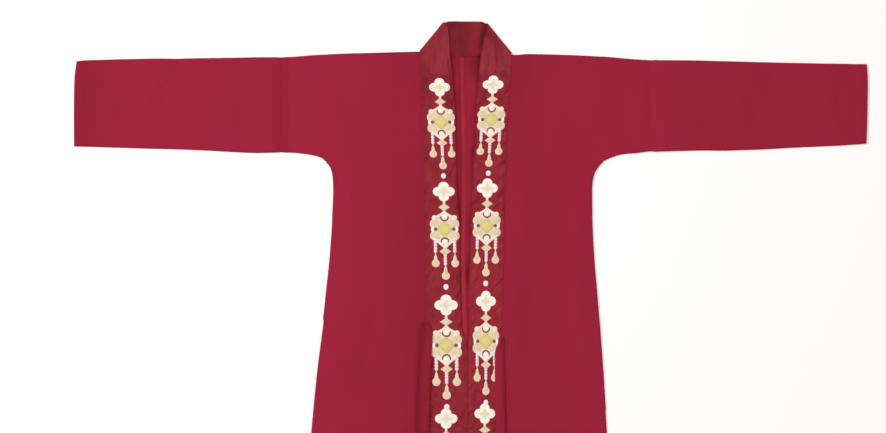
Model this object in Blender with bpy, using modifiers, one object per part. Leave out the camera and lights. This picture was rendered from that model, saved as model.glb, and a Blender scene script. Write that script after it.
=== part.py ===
"""Hanfu robe: an open-front red robe with narrow sleeves, a stand-up collar band and two front ties, lying flat on its
back with the front up. Metres, +Z up, +Y towards the collar, +X across the sleeves. Left and right are as seen from
above. Each piece of cloth is a thin sheet given its thickness by Solidify."""

import bmesh
import bpy

WALL = 0.0012          # body cloth
TIE_WALL = 0.0010      # ties and seam tape
SEAM_GAP = 0.0003      # between pieces sewn edge to edge, or lying on one another
LAYER_SPACE = 0.0020   # air between the back and the front of the robe

BACK_Z = WALL / 2                                  # middle of each sheet above the ground
FRONT_Z = BACK_Z + WALL + LAYER_SPACE
BAND_Z = FRONT_Z + WALL + SEAM_GAP
TIE_LOW_Z = FRONT_Z + WALL / 2 + SEAM_GAP + TIE_WALL / 2
TIE_HIGH_Z = BAND_Z + WALL / 2 + SEAM_GAP + TIE_WALL / 2
TAPE_Z = BACK_Z + WALL / 2 + SEAM_GAP + TIE_WALL / 2
FOLD_BULGE = (FRONT_Z - BACK_Z) * 0.42             # how far a folded edge rounds outwards

HEM_Y = -0.625
BACK_NECK_Y = 0.5512
BAND_TOP_Y = 0.6250
UNDER_BAND = 0.004     # the front panel stops this far short of the band's inner edge
SLEEVE_SEAM_LEFT_X = -0.3948
SLEEVE_SEAM_RIGHT_X = 0.3748

BODY_RED = (0.322, 0.019, 0.041)
BAND_RED = (0.250, 0.022, 0.029)
SEAM_ORANGE = (0.366, 0.028, 0.036)

# Side edge of each half of the body, from the hem up to the middle of the underarm curve.
SIDES = {
    "y":     (-0.6250, -0.3500, -0.1070, -0.0070, 0.0660, 0.1420, 0.2090, 0.2420, 0.2756, 0.2922, 0.3088, 0.3230, 0.3350),
    "left":  (-0.3690, -0.3440, -0.3218, -0.3090, -0.3005, -0.2930, -0.2885, -0.2873, -0.2862, -0.2868, -0.2887,
              -0.2935, -0.3030),
    "right": (0.3120, 0.2930, 0.2757, 0.2680, 0.2620, 0.2562, 0.2527, 0.2520, 0.2521, 0.2531, 0.2573, 0.2655, 0.2765),
}
# Lower edge from the underarm curve out to the cuff.
UNDER_LEFT = {
    "x": (-0.8258, -0.7921, -0.6922, -0.5924, -0.4925, -0.4426, -0.3927, -0.3677, -0.3428, -0.3225, -0.3100, -0.3030),
    "y": (0.3665, 0.3654, 0.3619, 0.3592, 0.3542, 0.3521, 0.3530, 0.3523, 0.3498, 0.3460, 0.3415, 0.3350),
}
UNDER_RIGHT = {
    "x": (0.2765, 0.2840, 0.2937, 0.3060, 0.3187, 0.3436, 0.3686, 0.4684, 0.5183, 0.5683, 0.6681, 0.7679, 0.8258),
    "y": (0.3350, 0.3390, 0.3430, 0.3470, 0.3496, 0.3520, 0.3554, 0.3571, 0.3567, 0.3588, 0.3631, 0.3677, 0.3720),
}
# Upper edge: the shoulder fold from the neck point out to the cuff.
OVER_LEFT = {
    "x": (-0.8258, -0.7921, -0.6922, -0.5924, -0.4925, -0.4426, -0.3927, -0.3178, -0.2637, -0.1889, -0.1306, -0.1040),
    "y": (0.5435, 0.5462, 0.5476, 0.5493, 0.5503, 0.5514, 0.5512, 0.5562, 0.5589, 0.5609, 0.5626, 0.5628),
}
OVER_RIGHT = {
    "x": (0.0820, 0.0940, 0.1190, 0.1689, 0.2375, 0.2812, 0.3686, 0.4684, 0.5183, 0.5683, 0.6681, 0.7679, 0.8258),
    "y": (0.5570, 0.5562, 0.5580, 0.5570, 0.5545, 0.5520, 0.5458, 0.5449, 0.5433, 0.5419, 0.5401, 0.5374, 0.5368),
}
CUFF_LEFT = {"y": (0.36, 0.44, 0.50, 0.55), "x": (-0.8254, -0.8258, -0.8250, -0.8195)}
CUFF_RIGHT = {"y": (0.36, 0.40, 0.46, 0.50, 0.54), "x": (0.8225, 0.8240, 0.8254, 0.8258, 0.8235)}
CENTRE_BACK = {
    "y": (-0.6250, -0.0050, 0.0680, 0.1500, 0.2340, 0.4000, 0.4840, 0.5512),
    "x": (-0.0110, -0.0138, -0.0156, -0.0164, -0.0158, -0.0162, -0.0179, -0.0183),
}

# One band from the centre back, up over the side of the neck and down the front to the hem. Each row is a line across
# the band: the edge sewn to the robe, the free edge, and the level as a share of the rise from back to front.
BAND_COLUMNS = ("sewn_x", "sewn_y", "free_x", "free_y", "level")
BAND_LEFT = (
    (-0.0185, 0.5515, -0.0170, 0.6250, 0.00),
    (-0.0480, 0.5560, -0.0330, 0.6250, 0.00),
    (-0.0800, 0.5604, -0.0470, 0.6250, 0.00),
    (-0.1010, 0.5668, -0.0550, 0.6238, 0.00),
    (-0.1026, 0.5682, -0.0567, 0.6252, 0.50),
    (-0.1014, 0.5664, -0.0555, 0.6236, 1.00),
    (-0.1050, 0.5540, -0.0470, 0.6240, 1.00),
    (-0.1043, 0.5350, -0.0435, 0.5950, 1.00),
    (-0.1040, 0.5180, -0.0400, 0.5610, 1.00),
    (-0.1035, 0.4960, -0.0376, 0.5240, 1.00),
    (-0.1030, 0.4700, -0.0360, 0.4850, 1.00),
    (-0.1020, 0.4250, -0.0330, 0.4250, 1.00),
    (-0.0995, 0.3600, -0.0318, 0.3600, 1.00),
    (-0.0978, 0.2850, -0.0302, 0.2850, 1.00),
    (-0.0968, 0.2340, -0.0262, 0.2340, 1.00),
    (-0.0960, 0.1925, -0.0240, 0.1925, 1.00),
    (-0.0950, 0.1500, -0.0244, 0.1500, 1.00),
    (-0.0945, 0.1100, -0.0238, 0.1100, 1.00),
    (-0.0935, 0.0500, -0.0226, 0.0500, 1.00),
    (-0.0928, -0.0050, -0.0208, -0.0050, 1.00),
    (-0.0925, -0.0270, -0.0152, -0.0270, 1.00),
    (-0.0922, -0.0480, -0.0086, -0.0480, 1.00),
    (-0.0920, -0.0700, -0.0066, -0.0700, 1.00),
    (-0.0910, -0.2500, -0.0068, -0.2500, 1.00),
    (-0.0900, -0.4400, -0.0070, -0.4400, 1.00),
    (-0.0890, -0.6250, -0.0072, -0.6250, 1.00),
)
BAND_RIGHT = (
    (-0.0181, 0.5515, -0.0166, 0.6250, 0.00),
    (0.0180, 0.5536, 0.0040, 0.6250, 0.00),
    (0.0520, 0.5560, 0.0220, 0.6250, 0.00),
    (0.0780, 0.5634, 0.0325, 0.6212, 0.00),
    (0.0794, 0.5646, 0.0340, 0.6224, 0.50),
    (0.0784, 0.5628, 0.0328, 0.6206, 1.00),
    (0.0824, 0.5480, 0.0290, 0.5980, 1.00),
    (0.0820, 0.5300, 0.0235, 0.5700, 1.00),
    (0.0812, 0.5120, 0.0195, 0.5480, 1.00),
    (0.0800, 0.4920, 0.0166, 0.5150, 1.00),
    (0.0785, 0.4680, 0.0138, 0.4780, 1.00),
    (0.0765, 0.4300, 0.0108, 0.4300, 1.00),
    (0.0735, 0.3600, 0.0072, 0.3600, 1.00),
    (0.0710, 0.2800, 0.0027, 0.2800, 1.00),
    (0.0697, 0.2340, 0.0004, 0.2340, 1.00),
    (0.0685, 0.1925, -0.0016, 0.1925, 1.00),
    (0.0665, 0.1100, -0.0038, 0.1100, 1.00),
    (0.0650, 0.0500, -0.0048, 0.0500, 1.00),
    (0.0640, -0.0050, -0.0040, -0.0050, 1.00),
    (0.0636, -0.0480, -0.0050, -0.0480, 1.00),
    (0.0635, -0.0700, -0.0056, -0.0700, 1.00),
    (0.0640, -0.2500, -0.0058, -0.2500, 1.00),
    (0.0645, -0.4400, -0.0060, -0.4400, 1.00),
    (0.0650, -0.6250, -0.0062, -0.6250, 1.00),
)
BAND_FRONT_ROW = 5     # the first row that lies on the front

# Each tie lies over the band's sewn edge. Outer and inner edge, from its slanting folded top down to its end.
TIE_COLUMNS = ("outer_x", "outer_y", "inner_x", "inner_y")
TIE_LEFT = (
    (-0.1015, 0.0000, -0.0900, 0.0010),
    (-0.1030, -0.0080, -0.0815, -0.0125),
    (-0.1042, -0.0300, -0.0797, -0.0300),
    (-0.1060, -0.0700, -0.0815, -0.0700),
    (-0.1090, -0.1300, -0.0840, -0.1300),
    (-0.1110, -0.2000, -0.0862, -0.2000),
    (-0.1118, -0.2700, -0.0870, -0.2700),
    (-0.1122, -0.3400, -0.0874, -0.3400),
)
TIE_RIGHT = (
    (0.0700, -0.0310, 0.0625, -0.0350),
    (0.0697, -0.0430, 0.0510, -0.0580),
    (0.0694, -0.0720, 0.0495, -0.0720),
    (0.0700, -0.0950, 0.0496, -0.0950),
    (0.0708, -0.1400, 0.0502, -0.1400),
    (0.0716, -0.2100, 0.0510, -0.2100),
    (0.0722, -0.2850, 0.0516, -0.2850),
    (0.0726, -0.3600, 0.0520, -0.3600),
)
TAPE_HALF_WIDTH = 0.0042

# How the sheets are divided.
HEM_TO_UNDERARM = 18
UNDERARM_TO_SHOULDER = 6
BACK_NECK_COLUMNS = 3
PANEL_COLUMNS = 7
ARM_COLUMNS = 5
SLEEVE_COLUMNS = 12
SLEEVE_ROWS = 6
BAND_ACROSS = 3


def read(table, across, down, at):
    """The table's value in the column `down` where its column `across` is `at`, straight between rows."""
    a, b = table[across], table[down]
    if at <= a[0]:
        return b[0]
    for i in range(1, len(a)):
        if at <= a[i]:
            share = (at - a[i - 1]) / (a[i] - a[i - 1])
            return b[i - 1] + (b[i] - b[i - 1]) * share
    return b[-1]


def mix(a, b, share):
    return a + (b - a) * share


def band_edge(rows, edge, y):
    """x of the band's sewn or free edge on the front, at this y."""
    at_x, at_y = BAND_COLUMNS.index(edge + "_x"), BAND_COLUMNS.index(edge + "_y")
    front = sorted((row[at_y], row[at_x]) for row in rows[BAND_FRONT_ROW:])
    return read({"y": [p[0] for p in front], "x": [p[1] for p in front]}, "y", "x", y)


def collection(name, hidden=False):
    made = bpy.data.collections.new(name)
    made.hide_render = hidden
    bpy.context.scene.collection.children.link(made)
    return made


def material(name, colour, roughness):
    made = bpy.data.materials.new(name)
    made.use_nodes = True
    shader = made.node_tree.nodes["Principled BSDF"]
    shader.inputs["Base Color"].default_value = (*colour, 1.0)
    shader.inputs["Roughness"].default_value = roughness
    shader.inputs["Metallic"].default_value = 0.0
    made.diffuse_color = (*colour, 1.0)
    return made


def add_grid(bm, across, down, place):
    """A grid of cloth whose vertex in column i and row j is moved to place(i, j). Returns them by (i, j)."""
    made = bmesh.ops.create_grid(bm, x_segments=across, y_segments=down, size=1.0)["verts"]
    found = {}
    for v in made:
        i = round((v.co.x + 1.0) / 2.0 * across)
        j = round((v.co.y + 1.0) / 2.0 * down)
        v.co = place(i, j)
        found[i, j] = v
    return found


def edges_between(bm, chain):
    return [bm.edges.get((a, b)) for a, b in zip(chain, chain[1:])]


def add_folds(bm, pairs, outwards):
    """Joins each pair of edge chains, one lying over the other, by a folded edge rounded outwards."""
    across = []
    for lower, upper in pairs:
        made = bmesh.ops.bridge_loops(bm, edges=edges_between(bm, lower) + edges_between(bm, upper))
        below = set(lower)
        across += [e for e in {e for f in made["faces"] for e in f.edges}
                   if (e.verts[0] in below) != (e.verts[1] in below)]
    cut = bmesh.ops.subdivide_edges(bm, edges=across, cuts=1, use_grid_fill=True)
    for v in [g for g in cut["geom_inner"] if isinstance(g, bmesh.types.BMVert)]:
        away = outwards(v.co)
        v.co.x += away[0] * FOLD_BULGE
        v.co.y += away[1] * FOLD_BULGE


def finish(name, bm, mat, thickness, into):
    bmesh.ops.recalc_face_normals(bm, faces=bm.faces)
    mesh = bpy.data.meshes.new(name)
    bm.to_mesh(mesh)
    bm.free()
    mesh.materials.append(mat)
    for face in mesh.polygons:
        face.use_smooth = True
    obj = bpy.data.objects.new(name, mesh)
    into.objects.link(obj)
    solid = obj.modifiers.new("thickness", "SOLIDIFY")
    solid.thickness = thickness
    solid.offset = 0.0
    solid.use_even_offset = False
    return obj


def make_body(name, side, mat, into):
    """Back and front of one half, one cloth over the shoulder, joined at the side and under the arm."""
    left = side == "left"
    over, under = (OVER_LEFT, UNDER_LEFT) if left else (OVER_RIGHT, UNDER_RIGHT)
    seam_x = SLEEVE_SEAM_LEFT_X + SEAM_GAP / 2 if left else SLEEVE_SEAM_RIGHT_X - SEAM_GAP / 2
    outer = -1.0 if left else 1.0
    corner_x, corner_y = SIDES[side][-1], SIDES["y"][-1]
    neck_x = over["x"][-1] if left else over["x"][0]
    rows = HEM_TO_UNDERARM + UNDERARM_TO_SHOULDER
    band = BAND_LEFT if left else BAND_RIGHT
    # Rows crowd together towards the underarm curve.
    heights = [mix(HEM_Y, corner_y, 1.0 - (1.0 - j / HEM_TO_UNDERARM) ** 1.6) for j in range(HEM_TO_UNDERARM + 1)]

    def side_x(y):
        return read(SIDES, "y", side, min(y, corner_y))

    def level_y(x, j):
        if j <= HEM_TO_UNDERARM:
            return heights[j]
        share = (j - HEM_TO_UNDERARM) / UNDERARM_TO_SHOULDER
        inside = (x - corner_x) * outer <= 0.0
        low = corner_y if inside else read(under, "x", "y", x)
        return mix(low, read(over, "x", "y", x), share)

    def arm_point(i, j, z):
        share = (i / ARM_COLUMNS) ** 1.35
        x = mix(corner_x, seam_x, share)
        if j == HEM_TO_UNDERARM:
            return (x, read(under, "x", "y", x), z)
        return (x, level_y(x, j), z)

    def front_inner_x(y):
        if y > 0.545:
            return mix(band_edge(band, "sewn", 0.545) - outer * 0.012, neck_x, min(1.0, (y - 0.545) / 0.016))
        inner = band_edge(band, "free", y) + outer * UNDER_BAND
        lower = band_edge(band, "sewn", 0.545) - outer * 0.012
        share = min(1.0, max(0.0, (0.545 - y) / 0.09))
        return mix(lower, inner, share)

    def front_point(i, j):
        y = level_y(neck_x, j)
        for _ in range(4):
            start = front_inner_x(y)
            x = mix(start, side_x(y), i / PANEL_COLUMNS)
            y = level_y(x, j)
        return (x, y, FRONT_Z)

    def back_point(i, j):
        y = level_y(neck_x, j)
        for _ in range(4):
            x = mix(neck_x, side_x(y), i / PANEL_COLUMNS)
            y = level_y(x, j)
        return (x, y, BACK_Z)

    def back_neck_point(i, j):
        low, high = (back_point(0, j)[1],) * 2
        top = j == rows
        share = i / BACK_NECK_COLUMNS
        if j > HEM_TO_UNDERARM:
            rise = (j - HEM_TO_UNDERARM) / UNDERARM_TO_SHOULDER
            high = mix(corner_y, BACK_NECK_Y, rise)
            low = mix(corner_y, read(over, "x", "y", neck_x), rise)
        y = mix(high, low, share)
        centre = read(CENTRE_BACK, "y", "x", y) + outer * SEAM_GAP / 2
        return (mix(centre, neck_x, share), y - (0.0003 if top else 0.0), BACK_Z)

    bm = bmesh.new()
    front = add_grid(bm, PANEL_COLUMNS, rows, front_point)
    front_arm = add_grid(bm, ARM_COLUMNS, UNDERARM_TO_SHOULDER,
                         lambda i, j: arm_point(i, j + HEM_TO_UNDERARM, FRONT_Z))
    back = add_grid(bm, PANEL_COLUMNS, rows, back_point)
    back_arm = add_grid(bm, ARM_COLUMNS, UNDERARM_TO_SHOULDER,
                        lambda i, j: arm_point(i, j + HEM_TO_UNDERARM, BACK_Z))
    back_neck = add_grid(bm, BACK_NECK_COLUMNS, rows, back_neck_point)
    weld = {}
    for j in range(UNDERARM_TO_SHOULDER + 1):
        weld[front_arm[0, j]] = front[PANEL_COLUMNS, j + HEM_TO_UNDERARM]
        weld[back_arm[0, j]] = back[PANEL_COLUMNS, j + HEM_TO_UNDERARM]
    for j in range(rows + 1):
        weld[back_neck[BACK_NECK_COLUMNS, j]] = back[0, j]
    bmesh.ops.weld_verts(bm, targetmap=weld)
    low_side = [back[PANEL_COLUMNS, j] for j in range(HEM_TO_UNDERARM + 1)]
    low_side += [back_arm[i, 0] for i in range(1, ARM_COLUMNS + 1)]
    high_side = [front[PANEL_COLUMNS, j] for j in range(HEM_TO_UNDERARM + 1)]
    high_side += [front_arm[i, 0] for i in range(1, ARM_COLUMNS + 1)]
    low_top = [back[i, rows] for i in range(PANEL_COLUMNS + 1)]
    low_top += [back_arm[i, UNDERARM_TO_SHOULDER] for i in range(1, ARM_COLUMNS + 1)]
    high_top = [front[i, rows] for i in range(PANEL_COLUMNS + 1)]
    high_top += [front_arm[i, UNDERARM_TO_SHOULDER] for i in range(1, ARM_COLUMNS + 1)]

    def outwards(co):
        if co.y > 0.450:
            return (0.0, 1.0)
        turn = max(0.0, min(1.0, (co.y - 0.300) / 0.050))
        if abs(co.x) > abs(corner_x) + 0.004:
            turn = 1.0
        return (outer * (1.0 - turn), -turn)

    add_folds(bm, ((low_side, high_side), (low_top, high_top)), outwards)
    return finish(name, bm, mat, WALL, into)


def make_sleeve(name, side, mat, into):
    """A flattened tube, open at the seam and at the cuff."""
    left = side == "left"
    over, under, cuff = (OVER_LEFT, UNDER_LEFT, CUFF_LEFT) if left else (OVER_RIGHT, UNDER_RIGHT, CUFF_RIGHT)
    seam_x = SLEEVE_SEAM_LEFT_X - SEAM_GAP / 2 if left else SLEEVE_SEAM_RIGHT_X + SEAM_GAP / 2
    cuff_x = -0.8258 if left else 0.8258

    def point(i, j, z):
        x = mix(seam_x, cuff_x, i / SLEEVE_COLUMNS)
        y = mix(read(under, "x", "y", x), read(over, "x", "y", x), j / SLEEVE_ROWS)
        if i == SLEEVE_COLUMNS:
            x = read(cuff, "y", "x", y)
        return (x, y, z)

    bm = bmesh.new()
    back = add_grid(bm, SLEEVE_COLUMNS, SLEEVE_ROWS, lambda i, j: point(i, j, BACK_Z))
    front = add_grid(bm, SLEEVE_COLUMNS, SLEEVE_ROWS, lambda i, j: point(i, j, FRONT_Z))
    pairs = [([back[i, j] for i in range(SLEEVE_COLUMNS + 1)], [front[i, j] for i in range(SLEEVE_COLUMNS + 1)])
             for j in (0, SLEEVE_ROWS)]
    add_folds(bm, pairs, lambda co: (0.0, 1.0 if co.y > 0.450 else -1.0))
    return finish(name, bm, mat, WALL, into)


def make_band(name, rows, mat, into):
    """The collar band: a strip whose cross lines follow the rows of its table."""
    def point(i, j):
        row = dict(zip(BAND_COLUMNS, rows[j]))
        share = i / BAND_ACROSS
        z = mix(BACK_Z, BAND_Z, row["level"])
        return (mix(row["sewn_x"], row["free_x"], share), mix(row["sewn_y"], row["free_y"], share), z)

    bm = bmesh.new()
    add_grid(bm, BAND_ACROSS, len(rows) - 1, point)
    return finish(name, bm, mat, WALL, into)


def make_tie(name, rows, band_rows, mat, into):
    """A ribbon lying half on the body and half on the band, stepping up at the band's sewn edge."""
    left = rows is TIE_LEFT
    outer = -1.0 if left else 1.0

    def point(i, j):
        row = dict(zip(TIE_COLUMNS, rows[j]))
        edge = band_edge(band_rows, "sewn", row["outer_y"])
        low, high = edge + outer * 0.0030, edge + outer * 0.0010
        x = (row["outer_x"], low, high, mix(high, row["inner_x"], 0.5), row["inner_x"])[i]
        share = (x - row["outer_x"]) / (row["inner_x"] - row["outer_x"])
        y = mix(row["outer_y"], row["inner_y"], share)
        return (x, y, TIE_LOW_Z if i < 2 else TIE_HIGH_Z)

    bm = bmesh.new()
    add_grid(bm, 4, len(rows) - 1, point)
    return finish(name, bm, mat, TIE_WALL, into)


def make_tape(name, mat, into):
    """The narrow bound seam allowance lying along the centre back, inside the robe."""
    segments = 12

    def point(i, j):
        y = mix(HEM_Y, BACK_NECK_Y - 0.001, j / segments)
        x = read(CENTRE_BACK, "y", "x", y)
        return (x + (i - 0.5) * 2.0 * TAPE_HALF_WIDTH, y, TAPE_Z)

    bm = bmesh.new()
    add_grid(bm, 1, segments, point)
    return finish(name, bm, mat, TIE_WALL, into)


for old in list(bpy.data.objects):
    bpy.data.objects.remove(old, do_unlink=True)

robe = collection("hanfu_robe")
body_cloth = material("body_cloth", BODY_RED, 0.85)
band_satin = material("band_satin", BAND_RED, 0.45)
seam_tape = material("seam_tape", SEAM_ORANGE, 0.7)

make_body("body_left", "left", body_cloth, robe)
make_body("body_right", "right", body_cloth, robe)
make_sleeve("sleeve_left", "left", body_cloth, robe)
make_sleeve("sleeve_right", "right", body_cloth, robe)
make_band("collar_band_left", BAND_LEFT, band_satin, robe)
make_band("collar_band_right", BAND_RIGHT, band_satin, robe)
make_tie("tie_left", TIE_LEFT, BAND_LEFT, body_cloth, robe)
make_tie("tie_right", TIE_RIGHT, BAND_RIGHT, body_cloth, robe)
make_tape("centre_back_tape", seam_tape, robe)
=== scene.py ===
"""Looks of the hanfu robe: cloth shells with creases, seams and hems, satin collar bands with puckers,
raised embroidery, ties, materials, floor, light and camera. The robe lies on its back, collar towards +Y.
Metres."""
import math

import bmesh
import bpy
import numpy as np
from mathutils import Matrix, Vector


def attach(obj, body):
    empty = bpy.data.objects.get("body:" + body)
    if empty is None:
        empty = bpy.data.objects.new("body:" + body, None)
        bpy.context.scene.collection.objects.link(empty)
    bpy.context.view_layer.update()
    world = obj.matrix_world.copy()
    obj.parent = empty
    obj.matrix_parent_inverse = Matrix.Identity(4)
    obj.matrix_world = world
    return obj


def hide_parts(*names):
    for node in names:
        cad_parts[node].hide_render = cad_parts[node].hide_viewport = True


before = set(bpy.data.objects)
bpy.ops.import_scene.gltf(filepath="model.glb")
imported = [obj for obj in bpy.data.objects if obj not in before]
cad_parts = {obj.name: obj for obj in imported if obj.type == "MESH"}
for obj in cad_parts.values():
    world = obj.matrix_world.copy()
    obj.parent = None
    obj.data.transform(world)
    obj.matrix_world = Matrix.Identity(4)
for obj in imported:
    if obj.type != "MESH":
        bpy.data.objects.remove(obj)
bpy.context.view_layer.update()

# ---- sizes ---------------------------------------------------------------------------------------
MM = 0.001
CLOTH = 0.0009  # thickness of the robe's cloth
SATIN = 0.0012  # thickness of the doubled satin
TAPE = 0.0006  # thickness of the tape down the centre back
TAPE_WIDTH = 0.0084
FOLD = 0.0018  # how far a half-round fold reaches past the edges that it joins
SEAM_GAP = 0.00002  # between two pieces sewn together
UNDER_BAND = 0.008  # how far the front cloth runs on under the band
BACK_Z = 0.0006  # middle of the back cloth above the ground
FRONT_Z = 0.0038  # middle of the front cloth, where it is smooth
LOWEST_FRONT_Z = BACK_Z + CLOTH + 0.0002  # where its deepest troughs come to rest
HEM_Y = -0.625
BACK_NECK_Y = 0.5590
SIDE_NECK_Y = (0.545, 0.563)  # where the front's inner edge turns away from the band's seam, up to the neck
ARM_Y = 0.450  # between the lower and the upper edge of the sleeves
OUTER = {"left": -1.0, "right": 1.0}  # away from the middle of the robe, along X
SLEEVE_SEAM = {"left": -0.3948, "right": 0.3748}
CUFF_X = {"left": -0.8258, "right": 0.8258}
CUFF_HEM = 0.024  # depth of the hem turned under at the cuff
LOWER_HEM = 0.028
SLEEVE_RIDGE = {"left": (-0.010, 0.00055), "right": (0.010, 0.00085)}  # seam allowance: place and height
COLLAR_RISE = {"left": 0.0036, "right": 0.0056}  # how far the free edge stands up by the neck
PUCKER_SEED = {"left": 21, "right": 29}
PULL_SEED = {"left": 61, "right": 67}

# Side edge of each half, from the hem up to the middle of the underarm curve.
SIDE_Y = (-0.6250, -0.3500, -0.1070, -0.0070, 0.0660, 0.1420, 0.2090, 0.2420, 0.2756, 0.2922, 0.3088,
          0.3230, 0.3350)
SIDE_X = {
    "left": (-0.3690, -0.3440, -0.3218, -0.3090, -0.3005, -0.2930, -0.2885, -0.2873, -0.2862, -0.2868,
             -0.2887, -0.2935, -0.3030),
    "right": (0.3120, 0.2930, 0.2757, 0.2680, 0.2620, 0.2562, 0.2527, 0.2520, 0.2521, 0.2531, 0.2573,
              0.2655, 0.2765),
}
# Lower edge between the underarm curve and the cuff, and upper edge between the side of the neck and the
# cuff: x, then y.
UNDER = {
    "left": (
        (-0.8258, -0.7921, -0.6922, -0.5924, -0.4925, -0.4426, -0.3927, -0.3677, -0.3428, -0.3225, -0.3100,
         -0.3030),
        (0.3665, 0.3654, 0.3619, 0.3592, 0.3542, 0.3521, 0.3530, 0.3523, 0.3498, 0.3460, 0.3415, 0.3350),
    ),
    "right": (
        (0.2765, 0.2840, 0.2937, 0.3060, 0.3187, 0.3436, 0.3686, 0.4684, 0.5183, 0.5683, 0.6681, 0.7679,
         0.8258),
        (0.3350, 0.3390, 0.3430, 0.3470, 0.3496, 0.3520, 0.3554, 0.3571, 0.3567, 0.3588, 0.3631, 0.3677,
         0.3720),
    ),
}
OVER = {
    "left": (
        (-0.8258, -0.7921, -0.6922, -0.5924, -0.4925, -0.4426, -0.3927, -0.3178, -0.2637, -0.1889, -0.1306,
         -0.1040),
        (0.5435, 0.5462, 0.5476, 0.5493, 0.5503, 0.5514, 0.5512, 0.5562, 0.5589, 0.5609, 0.5626, 0.5628),
    ),
    "right": (
        (0.0820, 0.0940, 0.1190, 0.1689, 0.2375, 0.2812, 0.3686, 0.4684, 0.5183, 0.5683, 0.6681, 0.7679,
         0.8258),
        (0.5570, 0.5562, 0.5580, 0.5570, 0.5545, 0.5520, 0.5458, 0.5449, 0.5433, 0.5419, 0.5401, 0.5374,
         0.5368),
    ),
}
# Edge of each cuff: y, then x.
CUFF = {
    "left": ((0.36, 0.44, 0.50, 0.55), (-0.8254, -0.8258, -0.8250, -0.8195)),
    "right": ((0.36, 0.40, 0.46, 0.50, 0.54), (0.8225, 0.8240, 0.8254, 0.8258, 0.8235)),
}
# Seam down the centre back: y, then x.
CENTRE_BACK = (
    (-0.6250, -0.0050, 0.0680, 0.1500, 0.2340, 0.4000, 0.4840, 0.5512),
    (-0.0110, -0.0128, -0.0145, -0.0162, -0.0146, -0.0144, -0.0172, -0.0182),
)

# Lines across the band, from the centre back over the side of the neck and down the front to the hem: sewn
# edge x, y, free edge x, y, and how far the line has come from the back's level (0) to the front's (1).
BAND = {
    "left": (
        (-0.0185, 0.5515, -0.0170, 0.6258, 0.00), (-0.0480, 0.5545, -0.0330, 0.6262, 0.00),
        (-0.0800, 0.5590, -0.0450, 0.6258, 0.00), (-0.1050, 0.5625, -0.0550, 0.6236, 0.00),
        (-0.1068, 0.5638, -0.0570, 0.6242, 0.50), (-0.1056, 0.5618, -0.0557, 0.6224, 1.00),
        (-0.1056, 0.5500, -0.0504, 0.6192, 1.00), (-0.1043, 0.5350, -0.0462, 0.5950, 1.00),
        (-0.1040, 0.5180, -0.0440, 0.5610, 1.00), (-0.1035, 0.4960, -0.0402, 0.5240, 1.00),
        (-0.1030, 0.4700, -0.0366, 0.4850, 1.00), (-0.1020, 0.4250, -0.0330, 0.4250, 1.00),
        (-0.0995, 0.3600, -0.0318, 0.3600, 1.00), (-0.0978, 0.2850, -0.0302, 0.2850, 1.00),
        (-0.0968, 0.2340, -0.0262, 0.2340, 1.00), (-0.0960, 0.1925, -0.0240, 0.1925, 1.00),
        (-0.0950, 0.1500, -0.0244, 0.1500, 1.00), (-0.0945, 0.1100, -0.0238, 0.1100, 1.00),
        (-0.0935, 0.0500, -0.0226, 0.0500, 1.00), (-0.0928, -0.0050, -0.0208, -0.0050, 1.00),
        (-0.0925, -0.0270, -0.0152, -0.0270, 1.00), (-0.0922, -0.0480, -0.0086, -0.0480, 1.00),
        (-0.0920, -0.0700, -0.0064, -0.0700, 1.00), (-0.0910, -0.2500, -0.0066, -0.2500, 1.00),
        (-0.0900, -0.4400, -0.0068, -0.4400, 1.00), (-0.0890, -0.6250, -0.0070, -0.6250, 1.00),
    ),
    "right": (
        (-0.0185, 0.5515, -0.0170, 0.6258, 0.00), (0.0180, 0.5536, 0.0040, 0.6258, 0.00),
        (0.0520, 0.5550, 0.0215, 0.6256, 0.00), (0.0832, 0.5585, 0.0320, 0.6216, 0.00),
        (0.0850, 0.5598, 0.0336, 0.6222, 0.50), (0.0840, 0.5578, 0.0326, 0.6198, 1.00),
        (0.0836, 0.5450, 0.0290, 0.5980, 1.00), (0.0820, 0.5300, 0.0235, 0.5700, 1.00),
        (0.0812, 0.5120, 0.0195, 0.5480, 1.00), (0.0800, 0.4920, 0.0166, 0.5150, 1.00),
        (0.0785, 0.4680, 0.0138, 0.4780, 1.00), (0.0765, 0.4300, 0.0108, 0.4300, 1.00),
        (0.0747, 0.3900, 0.0104, 0.3900, 1.00), (0.0735, 0.3600, 0.0072, 0.3600, 1.00),
        (0.0710, 0.2800, 0.0027, 0.2800, 1.00), (0.0697, 0.2340, 0.0004, 0.2340, 1.00),
        (0.0685, 0.1925, -0.0016, 0.1925, 1.00), (0.0665, 0.1100, -0.0038, 0.1100, 1.00),
        (0.0650, 0.0500, -0.0048, 0.0500, 1.00), (0.0640, -0.0050, -0.0040, -0.0050, 1.00),
        (0.0636, -0.0480, -0.0050, -0.0480, 1.00), (0.0635, -0.0700, -0.0058, -0.0700, 1.00),
        (0.0640, -0.2500, -0.0060, -0.2500, 1.00), (0.0645, -0.4400, -0.0062, -0.4400, 1.00),
        (0.0650, -0.6250, -0.0064, -0.6250, 1.00),
    ),
}
FRONT_ROW = 5  # the first line on the front, along the fold at the side of the neck
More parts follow.
